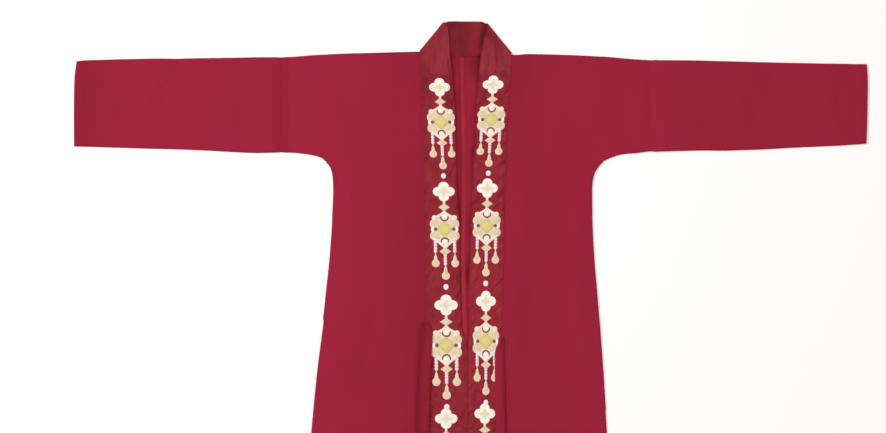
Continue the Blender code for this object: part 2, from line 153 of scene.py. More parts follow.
# Outer and inner edge of each tie, from its slanting folded top down to its end.
TIE = {
    "left": (
        (-0.1015, 0.0000, -0.0900, 0.0010), (-0.1030, -0.0080, -0.0815, -0.0125),
        (-0.1042, -0.0300, -0.0797, -0.0300), (-0.1060, -0.0700, -0.0815, -0.0700),
        (-0.1090, -0.1300, -0.0840, -0.1300), (-0.1110, -0.2000, -0.0862, -0.2000),
        (-0.1118, -0.2700, -0.0870, -0.2700), (-0.1122, -0.3400, -0.0874, -0.3400),
    ),
    "right": (
        (0.0700, -0.0310, 0.0625, -0.0350), (0.0697, -0.0430, 0.0510, -0.0580),
        (0.0694, -0.0720, 0.0495, -0.0720), (0.0700, -0.0950, 0.0496, -0.0950),
        (0.0708, -0.1400, 0.0502, -0.1400), (0.0716, -0.2100, 0.0510, -0.2100),
        (0.0722, -0.2850, 0.0516, -0.2850), (0.0726, -0.3600, 0.0520, -0.3600),
    ),
}

# Soft creases of the front cloth: start x, y, end x, y, then half width and height in millimetres. A trough's
# height is below nought.
CREASES = (
    (-0.728, 0.540, -0.762, 0.375, 16, 0.7), (-0.762, 0.520, -0.800, 0.380, 14, -0.3),
    (-0.700, 0.545, -0.735, 0.390, 15, -0.6), (-0.604, 0.595, -0.640, 0.445, 14, -0.7),
    (-0.640, 0.540, -0.672, 0.420, 17, 0.8), (-0.545, 0.520, -0.560, 0.390, 22, 0.8),
    (-0.470, 0.535, -0.480, 0.372, 18, -0.5), (-0.340, 0.520, -0.352, 0.380, 20, 0.6),
    (-0.300, 0.500, -0.250, 0.330, 24, 0.8), (-0.246, 0.330, -0.262, -0.050, 24, 1.0),
    (-0.205, 0.440, -0.196, 0.180, 26, -0.7), (-0.165, 0.350, -0.158, -0.060, 30, 0.7),
    (-0.281, 0.308, -0.261, 0.260, 5, -0.9), (-0.268, 0.300, -0.250, 0.262, 6, 0.4),
    (-0.187, 0.060, -0.227, -0.120, 14, -0.4), (-0.160, 0.058, -0.200, -0.085, 9, 0.5),
    (-0.205, 0.070, -0.250, -0.120, 15, 0.6), (-0.262, -0.060, -0.300, -0.330, 22, 0.8),
    (-0.180, -0.090, -0.215, -0.420, 20, -0.6), (-0.145, -0.150, -0.150, -0.560, 26, 0.7),
    (-0.300, -0.250, -0.335, -0.600, 18, -0.6), (0.120, 0.480, 0.128, 0.200, 26, -0.6),
    (0.165, 0.500, 0.190, 0.300, 26, 0.7), (0.222, 0.300, 0.232, -0.060, 22, 0.9),
    (0.215, 0.060, 0.240, -0.110, 14, 0.8), (0.130, 0.150, 0.126, -0.110, 26, -0.7),
    (0.250, 0.490, 0.262, 0.400, 22, 0.6), (0.300, 0.520, 0.322, 0.380, 20, -0.5),
    (0.190, -0.070, 0.215, -0.330, 20, -0.6), (0.245, -0.120, 0.272, -0.420, 20, 0.8),
    (0.110, -0.160, 0.112, -0.560, 24, 0.6), (0.470, 0.520, 0.462, 0.400, 20, 0.5),
    (0.575, 0.515, 0.590, 0.390, 18, -0.4), (0.690, 0.505, 0.680, 0.400, 18, 0.5),
    (0.762, 0.500, 0.775, 0.410, 12, -0.4),
)
# Painted light and shade on the outside of the cloth: x, y, half width, half height and change of tone.
CLOTH_LIGHT_AND_SHADE = (
    (-0.812, 0.450, 0.026, 0.300, -0.085), (-0.600, 0.450, 0.200, 0.300, 0.035),
    (-0.392, 0.440, 0.013, 0.300, -0.100), (-0.300, 0.150, 0.075, 0.700, 0.055),
    (-0.115, 0.000, 0.062, 1.200, -0.070), (-0.240, -0.105, 0.030, 0.045, -0.060),
    (0.090, 0.520, 0.045, 0.080, -0.070), (0.112, 0.100, 0.055, 0.600, -0.040),
    (0.190, 0.460, 0.070, 0.070, 0.030), (0.262, 0.100, 0.030, 0.400, 0.035),
    (0.340, 0.450, 0.040, 0.200, 0.025), (0.388, 0.450, 0.011, 0.300, 0.050),
    (0.391, 0.450, 0.005, 0.300, 0.060), (0.400, 0.450, 0.030, 0.300, 0.030),
    (-0.110, -0.015, 0.018, 0.050, -0.080), (-0.127, 0.420, 0.022, 0.100, 0.070),
    (0.096, 0.230, 0.025, 0.100, 0.060), (0.500, 0.450, 0.120, 0.300, -0.030),
    (-0.617, 0.535, 0.014, 0.040, -0.050), (-0.785, 0.480, 0.030, 0.090, -0.060),
)
# Painted light and shade on the satin, in the same columns: light on its folds, and shade in them and beside
# the ornaments.
SATIN_LIGHT_AND_SHADE = (
    (-0.099, 0.500, 0.014, 0.040, -0.320), (-0.030, 0.470, 0.020, 0.050, -0.040),
    (0.072, 0.485, 0.014, 0.040, -0.040), (0.022, 0.470, 0.016, 0.050, -0.060),
    (-0.062, 0.540, 0.012, 0.030, 0.050), (-0.098, 0.415, 0.010, 0.022, -0.200),
    (0.054, 0.585, 0.012, 0.022, 0.080), (0.025, 0.530, 0.010, 0.014, 0.320),
    (0.050, 0.535, 0.010, 0.012, 0.140), (-0.045, 0.541, 0.008, 0.014, 0.300),
    (0.058, 0.470, 0.008, 0.010, -0.240), (-0.082, 0.325, 0.016, 0.022, -0.140),
    (-0.094, 0.362, 0.009, 0.018, -0.220), (-0.048, 0.455, 0.007, 0.018, -0.260),
    (-0.085, 0.298, 0.016, 0.014, 0.160), (-0.036, 0.320, 0.006, 0.014, 0.340),
    (0.015, 0.325, 0.012, 0.016, 0.240), (0.060, 0.330, 0.010, 0.010, 0.550),
    (0.065, 0.255, 0.008, 0.080, 0.420), (-0.037, 0.250, 0.012, 0.015, -0.260),
    (0.013, 0.240, 0.010, 0.010, -0.120), (0.021, 0.252, 0.008, 0.012, -0.120),
    (-0.093, 0.121, 0.007, 0.014, -0.400), (0.030, 0.112, 0.024, 0.014, 0.050),
    (0.010, 0.085, 0.012, 0.045, 0.120), (0.051, 0.076, 0.012, 0.008, 0.420),
    (-0.080, 0.068, 0.018, 0.014, -0.080), (-0.085, 0.110, 0.012, 0.014, 0.200),
    (-0.086, 0.030, 0.012, 0.018, -0.240), (0.058, 0.030, 0.008, 0.010, 0.260),
    (-0.039, 0.083, 0.010, 0.012, -0.200), (-0.010, -0.068, 0.007, 0.018, -0.240),
    (0.042, -0.085, 0.006, 0.028, -0.400), (0.058, 0.012, 0.010, 0.006, -0.120),
    (0.004, 0.010, 0.012, 0.018, 0.180), (0.002, -0.090, 0.014, 0.050, 0.180),
    (-0.037, 0.458, 0.005, 0.012, 0.300), (-0.052, 0.509, 0.006, 0.010, -0.360),
    (-0.078, 0.512, 0.009, 0.007, -0.220), (-0.101, 0.463, 0.006, 0.007, 0.240),
    (0.074, 0.517, 0.005, 0.006, -0.200), (0.067, 0.524, 0.007, 0.006, 0.150),
    (0.069, 0.477, 0.009, 0.010, 0.240), (-0.094, 0.311, 0.006, 0.008, 0.200),
    (0.005, 0.270, 0.006, 0.012, 0.200), (-0.091, 0.230, 0.008, 0.018, 0.150),
    (-0.026, 0.232, 0.005, 0.009, -0.220), (-0.025, 0.090, 0.005, 0.024, -0.220),
    (-0.087, 0.094, 0.010, 0.012, 0.180), (0.064, 0.156, 0.006, 0.030, 0.240),
    (0.000, 0.059, 0.009, 0.016, 0.180), (-0.079, -0.013, 0.007, 0.008, 0.240),
    (-0.080, 0.012, 0.015, 0.008, -0.140), (-0.005, -0.047, 0.004, 0.016, 0.400),
    (-0.094, 0.467, 0.006, 0.006, 0.150), (0.065, 0.250, 0.006, 0.045, 0.340),
    (0.065, 0.334, 0.007, 0.009, 0.300), (0.062, 0.319, 0.009, 0.006, -0.200),
    (0.007, 0.090, 0.008, 0.010, 0.150), (-0.080, 0.027, 0.006, 0.006, 0.250),
    (-0.078, -0.003, 0.007, 0.006, 0.280), (0.054, 0.028, 0.008, 0.006, 0.220),
    (0.006, 0.003, 0.005, 0.007, 0.200), (0.003, -0.011, 0.006, 0.006, -0.220),
)
# Shade on the back inside the opening, beside the left and the right band: y, then the two losses of tone.
OPENING_SHADE = (
    (-0.080, 0.00, 0.00), (0.000, 0.04, 0.06), (0.047, 0.06, 0.08), (0.068, 0.10, 0.14),
    (0.099, 0.16, 0.50), (0.120, 0.12, 0.34), (0.151, 0.08, 0.04), (0.192, 0.22, 0.22), (0.209, 0.34, 0.30),
    (0.222, 0.50, 0.26), (0.234, 0.50, 0.20), (0.255, 0.32, 0.12), (0.276, 0.28, 0.10), (0.307, 0.25, 0.24),
    (0.359, 0.24, 0.46), (0.372, 0.25, 0.24), (0.400, 0.28, 0.16), (0.442, 0.27, 0.16), (0.463, 0.26, 0.18),
    (0.494, 0.20, 0.22), (0.507, 0.12, 0.25), (0.522, 0.20, 0.26), (0.545, 0.23, 0.24), (0.560, 0.23, 0.40),
)
# Painted lighter and darker places on the back inside the opening, in the same columns.
INNER_LIGHT_AND_SHADE = (
    (-0.0200, 0.416, 0.0040, 0.028, 0.190), (-0.0200, 0.022, 0.0045, 0.022, 0.220),
    (-0.0350, 0.507, 0.0050, 0.010, 0.080), (-0.0215, 0.160, 0.0040, 0.035, 0.140),
    (-0.0095, 0.092, 0.0040, 0.014, -0.140),
)
# Loss of tone along the free edge of the right band: y, then the loss.
EDGE_SHADE = (
    (-0.08, 0.05, 0.085, 0.126, 0.17, 0.203, 0.255, 0.307, 0.359, 0.40, 0.49, 0.53, 0.60),
    (0.05, 0.05, 0.15, 0.38, 0.15, 0.32, 0.30, 0.24, 0.30, 0.10, 0.10, 0.28, 0.50),
)
# Creases of the collar bands, in the columns of CREASES.
BAND_CREASES = (
    (-0.0560, 0.600, -0.0610, 0.520, 3.5, -0.3), (-0.0660, 0.590, -0.0760, 0.520, 5.0, 0.5),
    (-0.0850, 0.560, -0.0930, 0.520, 4.0, -0.5), (-0.1000, 0.512, -0.0560, 0.511, 5.5, -0.5),
    (-0.0980, 0.520, -0.0600, 0.521, 6.5, 0.4), (0.0480, 0.590, 0.0500, 0.520, 4.0, 0.5),
    (0.0400, 0.560, 0.0360, 0.520, 3.0, -0.5), (0.0610, 0.513, 0.0760, 0.522, 3.6, -1.0),
    (0.0240, 0.520, 0.0600, 0.513, 4.5, -0.4), (0.0560, 0.522, 0.0740, 0.531, 5.0, 0.4),
    (0.0620, 0.590, 0.0700, 0.550, 5.0, -0.4),
)

# Shade that each tie throws on the cloth: loss of tone, further loss lower down, and width.
TIE_SHADE = {"left": (0.24, 0.10, 0.0052), "right": (0.18, 0.0, 0.0055)}
# Painted light and shade on each tie: loss along its outer edge, width of that, tone of the middle, loss
# along its inner edge.
TIE_LIGHT_AND_SHADE = {"left": (0.32, 0.0085, 1.09, 0.22), "right": (0.34, 0.0048, 1.25, 0.0)}

# Embroidered ornaments down each band: flower centre x, y, height scale, width scale, and sideways run for
# each step down.
ORNAMENTS = {
    "left": (
        (-0.0651, 0.4888, 0.93, 0.95, 0.044), (-0.0564, 0.2718, 1.00, 1.00, 0.024),
        (-0.0516, 0.0357, 1.07, 1.06, 0.008), (-0.0514, -0.2004, 1.04, 1.02, 0.002),
        (-0.0508, -0.4280, 0.93, 0.96, 0.0),
    ),
    "right": (
        (0.0462, 0.4942, 0.93, 0.95, -0.054), (0.0343, 0.2789, 1.00, 0.95, -0.017),
        (0.0312, 0.0438, 1.065, 0.90, 0.000), (0.0290, -0.1900, 1.04, 0.95, 0.0),
        (0.0286, -0.4200, 0.93, 0.96, 0.0),
    ),
}
# Where an ornament's stitching holds the satin flat: height from the flower, half width and half height, in
# millimetres. Then where it pulls: height from the flower, and the directions of its creases in degrees.
HELD_FLAT = ((0.0, 26, 24), (-78, 33, 44), (-128, 20, 26))
PULLED = ((-24, (-12, 14, 166, 192)), (-50, (28, 152)), (-150, (-60, 240)),
          (-190, (40, 75, 105, 140, 215, -35)))


# ---- curves and heights --------------------------------------------------------------------------
def rounded(xs, ys):
    """A smooth line through the points, read with an array: no overshoot between them."""
    xs, ys = np.array(xs, float), np.array(ys, float)
    if xs[0] > xs[-1]:
        xs, ys = xs[::-1], ys[::-1]
    step = np.diff(xs)
    slope = np.diff(ys) / step
    tangent = np.zeros(len(xs))
    tangent[0], tangent[-1] = slope[0], slope[-1]
    same = slope[:-1] * slope[1:] > 0
    mean = 2 * slope[:-1] * slope[1:] / np.where(same, slope[:-1] + slope[1:], 1.0)
    tangent[1:-1] = np.where(same, mean, 0.0)

    def at(q):
        q = np.clip(q, xs[0], xs[-1])
        k = np.clip(np.searchsorted(xs, q, "right") - 1, 0, len(step) - 1)
        t = (q - xs[k]) / step[k]
        h = step[k]
        return (ys[k] * (1 + 2 * t) * (1 - t) ** 2 + tangent[k] * h * t * (1 - t) ** 2
                + ys[k + 1] * t * t * (3 - 2 * t) + tangent[k + 1] * h * t * t * (t - 1))

    return at


# Outlines to read with an array. The sheets stop a fold's width inside them.
side_at = {s: rounded(SIDE_Y, [x - OUTER[s] * FOLD for x in SIDE_X[s]]) for s in OUTER}
under_at = {s: rounded(UNDER[s][0], [y + FOLD for y in UNDER[s][1]]) for s in OUTER}
over_at = {s: rounded(OVER[s][0], [y - FOLD for y in OVER[s][1]]) for s in OUTER}
cuff_at = {s: rounded(*CUFF[s]) for s in OUTER}
centre_at = rounded(*CENTRE_BACK)
FRONT_BAND = {s: np.array(BAND[s][FRONT_ROW:]).T for s in OUTER}
sewn_at = {s: rounded(FRONT_BAND[s][1], FRONT_BAND[s][0]) for s in OUTER}
free_at = {s: rounded(FRONT_BAND[s][3], FRONT_BAND[s][2]) for s in OUTER}


def ease(low, high, q):
    """0 up to `low`, 1 from `high` on, smooth between them."""
    t = np.clip((q - low) / (high - low), 0.0, 1.0)
    return t * t * (3 - 2 * t)


def bell(q, middle, wide):
    """1 at `middle`, fading over `wide` to both sides."""
    return np.exp(-((q - middle) / wide) ** 2)


def mix(a, b, share):
    return a + (b - a) * share


def both_ends(u, share):
    """Shares from 0 to 1 that lie closer together at both ends."""
    return mix(u, u * u * (3 - 2 * u), share)


def ripple(x, y, length, seed, stretch=1.0, lean=0.0):
    """An uneven wavy field of about unit height. Its waves are `length` long, and `stretch` times that along
    a line that leans from Y by `lean`."""
    rng = np.random.RandomState(seed)
    c, s = math.cos(lean), math.sin(lean)
    u, v = (x * c + y * s) / length, (-x * s + y * c) / (length * stretch)
    total = 0.0
    for _ in range(6):
        angle, phase, size = rng.uniform(0, math.pi), rng.uniform(0, 2 * math.pi), rng.uniform(0.7, 1.5)
        total = total + np.sin(2 * math.pi * (u * math.cos(angle) + v * math.sin(angle)) / size + phase)
    return total / 3.0


def folds(x, y, length, seed, lean):
    """Patches of long narrow waves, about `length` apart, along a line that leans from Y by `lean`."""
    rng = np.random.RandomState(seed)
    total = 0.0
    for _ in range(5):
        angle = lean + rng.uniform(-0.30, 0.30)
        phase, size = rng.uniform(0, 2 * math.pi), rng.uniform(0.7, 1.6)
        wave = 2 * math.pi * (x * math.cos(angle) - y * math.sin(angle)) / (length * size)
        total = total + np.sin(wave + phase)
    return total / 2.4 * np.clip(0.55 + 0.8 * ripple(x, y, length * 2.6, seed + 1), 0.0, 1.3)


def creased(x, y, table, gain):
    """Height of the table's creases. Each wanders a little and dies away at its ends."""
    total = np.zeros_like(x)
    for n, (x0, y0, x1, y1, width, height) in enumerate(table):
        length = math.hypot(x1 - x0, y1 - y0)
        ax, ay = (x1 - x0) / length, (y1 - y0) / length
        along = ((x - x0) * ax + (y - y0) * ay) / length
        off = (x - x0) * -ay + (y - y0) * ax
        wander = 0.25 * width * MM * np.sin(2.2 * along * math.pi + n * 1.7)
        across = (off - wander) / (width * MM)
        ends = ease(-0.12, 0.28, along) * (1 - ease(0.70, 1.12, along))
        total = total + gain * height * MM * np.exp(-across * across) * ends
    return total


def toned(x, y, table):
    """Tone of each point, 1 where no row of the table reaches."""
    total = np.ones_like(x)
    for cx, cy, wide, high, change in table:
        total = total + change * np.exp(-((x - cx) / wide) ** 2 - ((y - cy) / high) ** 2)
    return total


def tie_edge(side, y, column):
    """x of the tie's outer edge (column 0) or inner edge (column 2) at each y."""
    rows = np.array(TIE[side])
    return np.interp(y, rows[::-1, column + 1], rows[::-1, column])


def hem_height(inwards, depth):
    """A hem is thicker than the cloth beside it and ends in a stitched groove."""
    turned = 1 - ease(depth - 0.002, depth + 0.002, inwards)
    return 0.0005 * turned - 0.0004 * bell(inwards, depth + 0.0005, 0.0016)


def front_height(side, x, y):
    """Middle of the front cloth above the ground."""
    outer = OUTER[side]
    z = FRONT_Z + creased(x, y, CREASES, 2.2)
    z = z + 0.00110 * ripple(x, y, 0.150, 5, 2.2, 0.10) + 0.00022 * ripple(x, y, 0.045, 8, 1.6, -0.2)
    # The seam where the band is sewn on lies in a shallow ditch with small tucks along it.
    from_band = (x - sewn_at[side](y)) * outer
    tucks = bell(from_band, 0.006, 0.009) * ripple(x * 0.35, y, 0.021, 11)
    z = z - 0.0005 * bell(from_band, 0.0, 0.0100) + 0.00026 * tucks
    # A groove where the tie leaves the seam and hangs beside it.
    from_tie = (x - tie_edge(side, y, 0)) * outer
    tie_top = TIE[side][0][1]
    z = z - 0.0012 * bell(from_tie, 0.001, 0.0055) * (1 - ease(tie_top - 0.03, tie_top, y))
    # The sleeve seam lies in a ditch, and the seam allowance shows through beside it as a low ridge.
    from_seam = (x - SLEEVE_SEAM[side]) * outer
    z = z - 0.0010 * bell(from_seam, 0.0, 0.0065)
    ridge_at, ridge_height = SLEEVE_RIDGE[side]
    ridge = ridge_height * ease(-0.008, 0.0, -np.abs(from_seam - ridge_at))
    z = z + ridge * (1 + 0.25 * ripple(x, y, 0.03, 14))
    z = z + hem_height((CUFF_X[side] - x) * outer, CUFF_HEM) + hem_height(y - HEM_Y, LOWER_HEM)
    # The deepest troughs come to rest softly on the back.
    return LOWEST_FRONT_Z + 0.0004 * np.logaddexp(0.0, (z - LOWEST_FRONT_Z) / 0.0004)


def on_ornament(side, x, y):
    """1 under the flower and the medallion of each ornament, where the stitching holds the satin flat."""
    held = np.zeros_like(x)
    for cx, cy, scale, breadth, run in ORNAMENTS[side]:
        for down, wide, high in HELD_FLAT:
            off_x, off_y = x - cx + down * run * MM * scale, y - cy - down * MM * scale
            r = np.hypot(off_x / (wide * MM * breadth), off_y / (high * MM * scale))
            held = np.maximum(held, 1 - ease(0.75, 1.15, r))
    return held


def pulls(side):
    """Short creases that radiate from where the stitching of each ornament is tightest."""
    rng = np.random.RandomState(PULL_SEED[side])
    found = []
    for cx, cy, scale, _, run in ORNAMENTS[side]:
        for down, turns in PULLED:
            bx, by = cx - down * run * scale * MM, cy + down * scale * MM
            for turn in turns:
                angle = math.radians(turn + rng.uniform(-9, 9))
                near, far = rng.uniform(7, 12), rng.uniform(24, 36)
                width = rng.uniform(1.8, 3.4)
                height = rng.choice((-1, 1)) * rng.uniform(0.4, 0.8)
                ax, ay = math.cos(angle) * MM, math.sin(angle) * MM
                found.append((bx + ax * near, by + ay * near, bx + ax * far, by + ay * far, width, height))
    return tuple(found)


PULLS = {side: pulls(side) for side in OUTER}


def low_neck(y):
    """1 down the front, 0 by the neck."""
    return 1 - ease(0.535, 0.575, y)


def band_height(side, x, y):
    """Middle of the satin on the front above the ground."""
    sewn, free = sewn_at[side](y), free_at[side](y)
    share = np.clip((x - sewn) / (free - sewn), 0.0, 1.0)
    wide = np.abs(free - sewn)
    from_sewn, from_free = share * wide, (1 - share) * wide
    low = FRONT_Z + CLOTH / 2 + SATIN / 2 + 0.0001
    # The sewn edge lies down in the ditch of the seam.
    z = mix(front_height(side, x, y) + (CLOTH + SATIN) / 2 - 0.0003, low + 0.0003, ease(0.0, 0.30, share))
    # It stands up by the neck, less so where it is folded over.
    ax, ay, bx, by, _ = BAND[side][FRONT_ROW]
    from_fold = ((y - ay) * (bx - ax) - (x - ax) * (by - ay)) * OUTER[side] / math.hypot(bx - ax, by - ay)
    rolled = mix(0.30, 1.0, ease(0.0, 0.020, from_fold))
    z = z + COLLAR_RISE[side] * ease(0.440, 0.600, y) * ease(0.05, 0.9, share) * rolled
    # The free edge is full and rolls under, on the left far more than on the right.
    above_ties = ease(-0.070, -0.040, y)
    if side == "left":
        fullness = (0.40 + 0.60 * ease(0.36, 0.46, y)) * low_neck(y)
        z = z + 0.0008 * fullness * bell(from_free, 0.013, 0.010)
        drop = mix(0.0009, 0.0018, ease(0.500, 0.530, y)) * fullness
        z = z - drop * (1 - ease(0.0, 0.0080, from_free)) * above_ties
    else:
        z = z + 0.0012 * bell(from_free, 0.004, 0.012)
        z = z - 0.0010 * (1 - ease(0.0, 0.004, from_free)) * low_neck(y) * above_ties
    # Puckers: slanting between the ornaments, short along both edges, and pulls from the stitching.
    not_held = 1 - on_ornament(side, x, y)
    loose = not_held * (1 - 0.75 * ease(0.500, 0.530, y))
    seed = PUCKER_SEED[side]
    z = z + 0.00050 * loose * folds(x, y, 0.0160, seed, 0.62)
    z = z + 0.00018 * loose * folds(x, y, 0.0100, seed + 4, -0.95)
    z = z + 0.00013 * folds(x, y, 0.0220, seed + 8, 0.10) * ease(0.515, 0.545, y)
    z = z + creased(x, y, PULLS[side], 0.8) * not_held
    at_edge = bell(from_sewn, 0.0, 0.007) + 0.6 * bell(from_free, 0.0, 0.007)
    z = z + 0.00024 * at_edge * ripple(x * 0.3, y, 0.018, 37) * (1 - ease(0.52, 0.54, y))
    z = z + creased(x, y, BAND_CREASES, 1.5) * ease(0.02, 0.10, share)
    # The hidden edge of the front cloth stays under the satin.
    over = front_height(side, x, y) + (CLOTH - SATIN) / 2 + 0.0004
    return np.maximum(z, over - 0.0060 * ease(UNDER_BAND, UNDER_BAND + 0.0060, from_sewn))


# ---- meshes --------------------------------------------------------------------------------------
def add_grid(bm, across, down, place):
    """A grid moved to place(u, v), with u and v from 0 to 1. Returns its vertices by column and row."""
    made = bmesh.ops.create_grid(bm, x_segments=across, y_segments=down, size=1.0)["verts"]
    flat = np.array([v.co[:2] for v in made])
    i, j = np.rint((flat[:, 0] + 1) / 2 * across), np.rint((flat[:, 1] + 1) / 2 * down)
    points = np.stack(np.broadcast_arrays(*place(i / across, j / down)), axis=1)
    found = {}
    for v, a, b, p in zip(made, i, j, points.tolist()):
        v.co = p
        found[int(a), int(b)] = v
    return found


def chain_edges(bm, chain):
    """The edges between neighbours in a row of vertices."""
    return [bm.edges.get((a, b)) for a, b in zip(chain, chain[1:])]


def add_folds(bm, pairs, outwards):
    """Joins each pair of edge chains, one over the other, by a half-round fold."""
    across = []
    for lower, upper in pairs:
        made = bmesh.ops.bridge_loops(bm, edges=chain_edges(bm, lower) + chain_edges(bm, upper))
        below = set(lower)
        across += [e for e in {e for f in made["faces"] for e in f.edges}
                   if (e.verts[0] in below) != (e.verts[1] in below)]
    spans = {}
    for e in across:
        low, high = sorted(v.co.z for v in e.verts)
        spans[round(e.verts[0].co.x, 5), round(e.verts[0].co.y, 5)] = (low, high)
    cut = bmesh.ops.subdivide_edges(bm, edges=across, cuts=3, use_grid_fill=True)
    for v in [g for g in cut["geom_inner"] if isinstance(g, bmesh.types.BMVert)]:
        low, high = spans.get((round(v.co.x, 5), round(v.co.y, 5)), (BACK_Z, FRONT_Z))
        radius = (high - low) / 2
        share = (v.co.z - low) / (high - low)
        away = outwards(v.co)
        bulge = radius * 0.95 * math.sin(math.pi * share)
        v.co.x += away[0] * bulge
        v.co.y += away[1] * bulge
        v.co.z = low + radius * (1 - math.cos(math.pi * share))


def finish(name, bm, material, thickness=0.0):
    """The object of a finished mesh, smooth all over, thickened where it is a sheet."""
    bmesh.ops.recalc_face_normals(bm, faces=bm.faces)
    for e in bm.edges:
        e.smooth = not (thickness and e.is_boundary)
    mesh = bpy.data.meshes.new(name)
    bm.to_mesh(mesh)
    bm.free()
    mesh.materials.append(material)
    mesh.polygons.foreach_set("use_smooth", [True] * len(mesh.polygons))
    obj = bpy.data.objects.new(name, mesh)
    bpy.context.scene.collection.objects.link(obj)
    if thickness:
        solid = obj.modifiers.new("thickness", "SOLIDIFY")
        solid.thickness = thickness
        solid.offset = 0.0
    return obj


def give(obj, name, values):
    """A named value on every point, which the materials read."""
    layer = obj.data.attributes.new(name, "FLOAT", "POINT")
    layer.data.foreach_set("value", np.asarray(values, np.float32))


def points_of(obj):
    flat = np.zeros(len(obj.data.vertices) * 3, np.float32)
    obj.data.vertices.foreach_get("co", flat)
    return flat.reshape(-1, 3).astype(float)


def opening_shade(x, y):
    """Loss of tone on the back inside the opening: from the left band to the tape, beside the right band,
    and broadly by the neck."""
    level, left_loss, right_loss = np.array(OPENING_SHADE).T
    from_left, from_right = x - free_at["left"](y), free_at["right"](y) - x
    from_centre = x - centre_at(y)
    left_shade = np.interp(y, level, left_loss) * (1 - ease(-0.0040, -0.0010, from_centre))
    by_band = -0.5 - 1.1 * (ease(0.28, 0.31, y) - ease(0.375, 0.400, y)) + 0.9 * ease(0.47, 0.52, y)
    left_shade = left_shade * (1 + by_band * bell(np.maximum(from_left, 0), 0.0, 0.004))
    right_shade = np.interp(y, level, right_loss) * bell(np.maximum(from_right - 0.0015, 0), 0.0, 0.0060)
    by_neck = ease(0.490, 0.540, y) * (0.16 + 0.14 * ease(-0.012, 0.008, x))
    by_neck = by_neck * ease(-0.001, 0.003, from_centre)
    return left_shade + right_shade + by_neck - (toned(x, y, INNER_LIGHT_AND_SHADE) - 1)


def shaded(side, obj):
    """Gives the cloth its tone: painted light and shade on the outside, and painted shade inside the opening.
    """
    x, y, z = points_of(obj).T
    top = ease(0.0011, 0.0017, z)
    tone = mix(1.0, toned(x, y, CLOTH_LIGHT_AND_SHADE), top)
    tone = tone * (1 - (1 - top) * (y < 0.57) * opening_shade(x, y))
    # Shade beside the tie and along the seam of the band.
    tie_top = TIE[side][0][1]
    below = 1 - ease(tie_top - 0.02, tie_top + 0.004, y)
    loss, further_loss, wide = TIE_SHADE[side]
    depth = loss + further_loss * (1 - ease(-0.080, -0.050, y))
    from_tie = (x - tie_edge(side, y, 0)) * OUTER[side]
    tone = tone * (1 - top * below * depth * bell(from_tie, 0.0008, wide))
    from_band = (x - sewn_at[side](y)) * OUTER[side]
    tone = tone * (1 - top * 0.060 * bell(from_band, 0.0, 0.007))
    give(obj, "tone", tone)
    return obj


def body(side, material):
    """Half of the body: back and front over the shoulder, joined at the side and under the arm."""
    outer = OUTER[side]
    corner_x, corner_y = SIDE_X[side][-1] - outer * FOLD * 0.7, SIDE_Y[-1] + FOLD * 0.7
    neck_x = OVER[side][0][-1] if side == "left" else OVER[side][0][0]
    seam_x = SLEEVE_SEAM[side] - outer * SEAM_GAP / 2
    low_rows, high_rows, panel, arm, inside = 170, 36, 50, 28, 44
    rows = low_rows + high_rows
    split = low_rows / rows

    def level(x, v):
        """y at height v of the grid: level rows below the arm, above it fanned up to the upper edge."""
        under = np.where((x - corner_x) * outer > 0, under_at[side](x), corner_y)
        below = mix(HEM_Y, corner_y, both_ends(np.clip(v / split, 0, 1), 0.5))
        above = mix(under, over_at[side](x), np.clip((v - split) / (1 - split), 0, 1))
        return np.where(v <= split, below, above)

    def front_inner(y):
        """x of the front's inner edge, hidden under the band up to the side of the neck."""
        hidden = sewn_at[side](np.minimum(y, SIDE_NECK_Y[0])) - outer * UNDER_BAND
        return np.where(y > SIDE_NECK_Y[0], mix(hidden, neck_x, ease(*SIDE_NECK_Y, y)), hidden)

    def panel_point(u, v, inner, z):
        y = level(np.full_like(u, neck_x), v)
        for _ in range(5):
            x = mix(inner(y), side_at[side](np.minimum(y, corner_y)), u)
            y = level(x, v)
        return x, y, z(x, y)

    def arm_point(u, v, z):
        x = mix(corner_x, seam_x, both_ends(u, 0.6))
        y = mix(under_at[side](x), over_at[side](x), v)
        return x, y, z(x, y)

    def back_neck_point(u, v):
        low = level(np.full_like(u, neck_x), v)
        high = mix(corner_y, BACK_NECK_Y, np.clip((v - split) / (1 - split), 0, 1))
        y = np.where(v <= split, low, mix(high, low, u))
        x = mix(centre_at(y) + outer * SEAM_GAP / 2, neck_x, u)
        return x, y - 0.0003 * (v == 1.0), back_z(x, y)

    def front_z(x, y):
        return front_height(side, x, y)

    def back_z(x, y):
        return BACK_Z + 0.00012 * (1 + ripple(x, y, 0.09, 3, 2.0))

    bm = bmesh.new()
    front = add_grid(bm, panel, rows, lambda u, v: panel_point(u, v, front_inner, front_z))
    front_arm = add_grid(bm, arm, high_rows, lambda u, v: arm_point(u, v, front_z))
    back = add_grid(bm, panel, rows, lambda u, v: panel_point(u, v, lambda y: neck_x, back_z))
    back_arm = add_grid(bm, arm, high_rows, lambda u, v: arm_point(u, v, back_z))
    neck = add_grid(bm, inside, rows, back_neck_point)
    weld = {neck[inside, j]: back[0, j] for j in range(rows + 1)}
    for j in range(high_rows + 1):
        weld[front_arm[0, j]] = front[panel, j + low_rows]
        weld[back_arm[0, j]] = back[panel, j + low_rows]
    bmesh.ops.weld_verts(bm, targetmap=weld)

    def side_chain(main, sleeve):
        return [main[panel, j] for j in range(low_rows + 1)] + [sleeve[i, 0] for i in range(1, arm + 1)]

    def top_chain(main, sleeve):
        return [main[i, rows] for i in range(panel + 1)] + [sleeve[i, high_rows] for i in range(1, arm + 1)]

    def outwards(co):
        if co.y > ARM_Y:
            return 0.0, 1.0
        turn = 1.0 if abs(co.x) > abs(corner_x) + 0.004 else min(1.0, max(0.0, (co.y - 0.300) / 0.050))
        return outer * (1 - turn), -turn

    add_folds(bm, ((side_chain(back, back_arm), side_chain(front, front_arm)),
                   (top_chain(back, back_arm), top_chain(front, front_arm))), outwards)
    return shaded(side, finish("cloth_body_" + side, bm, material, CLOTH))


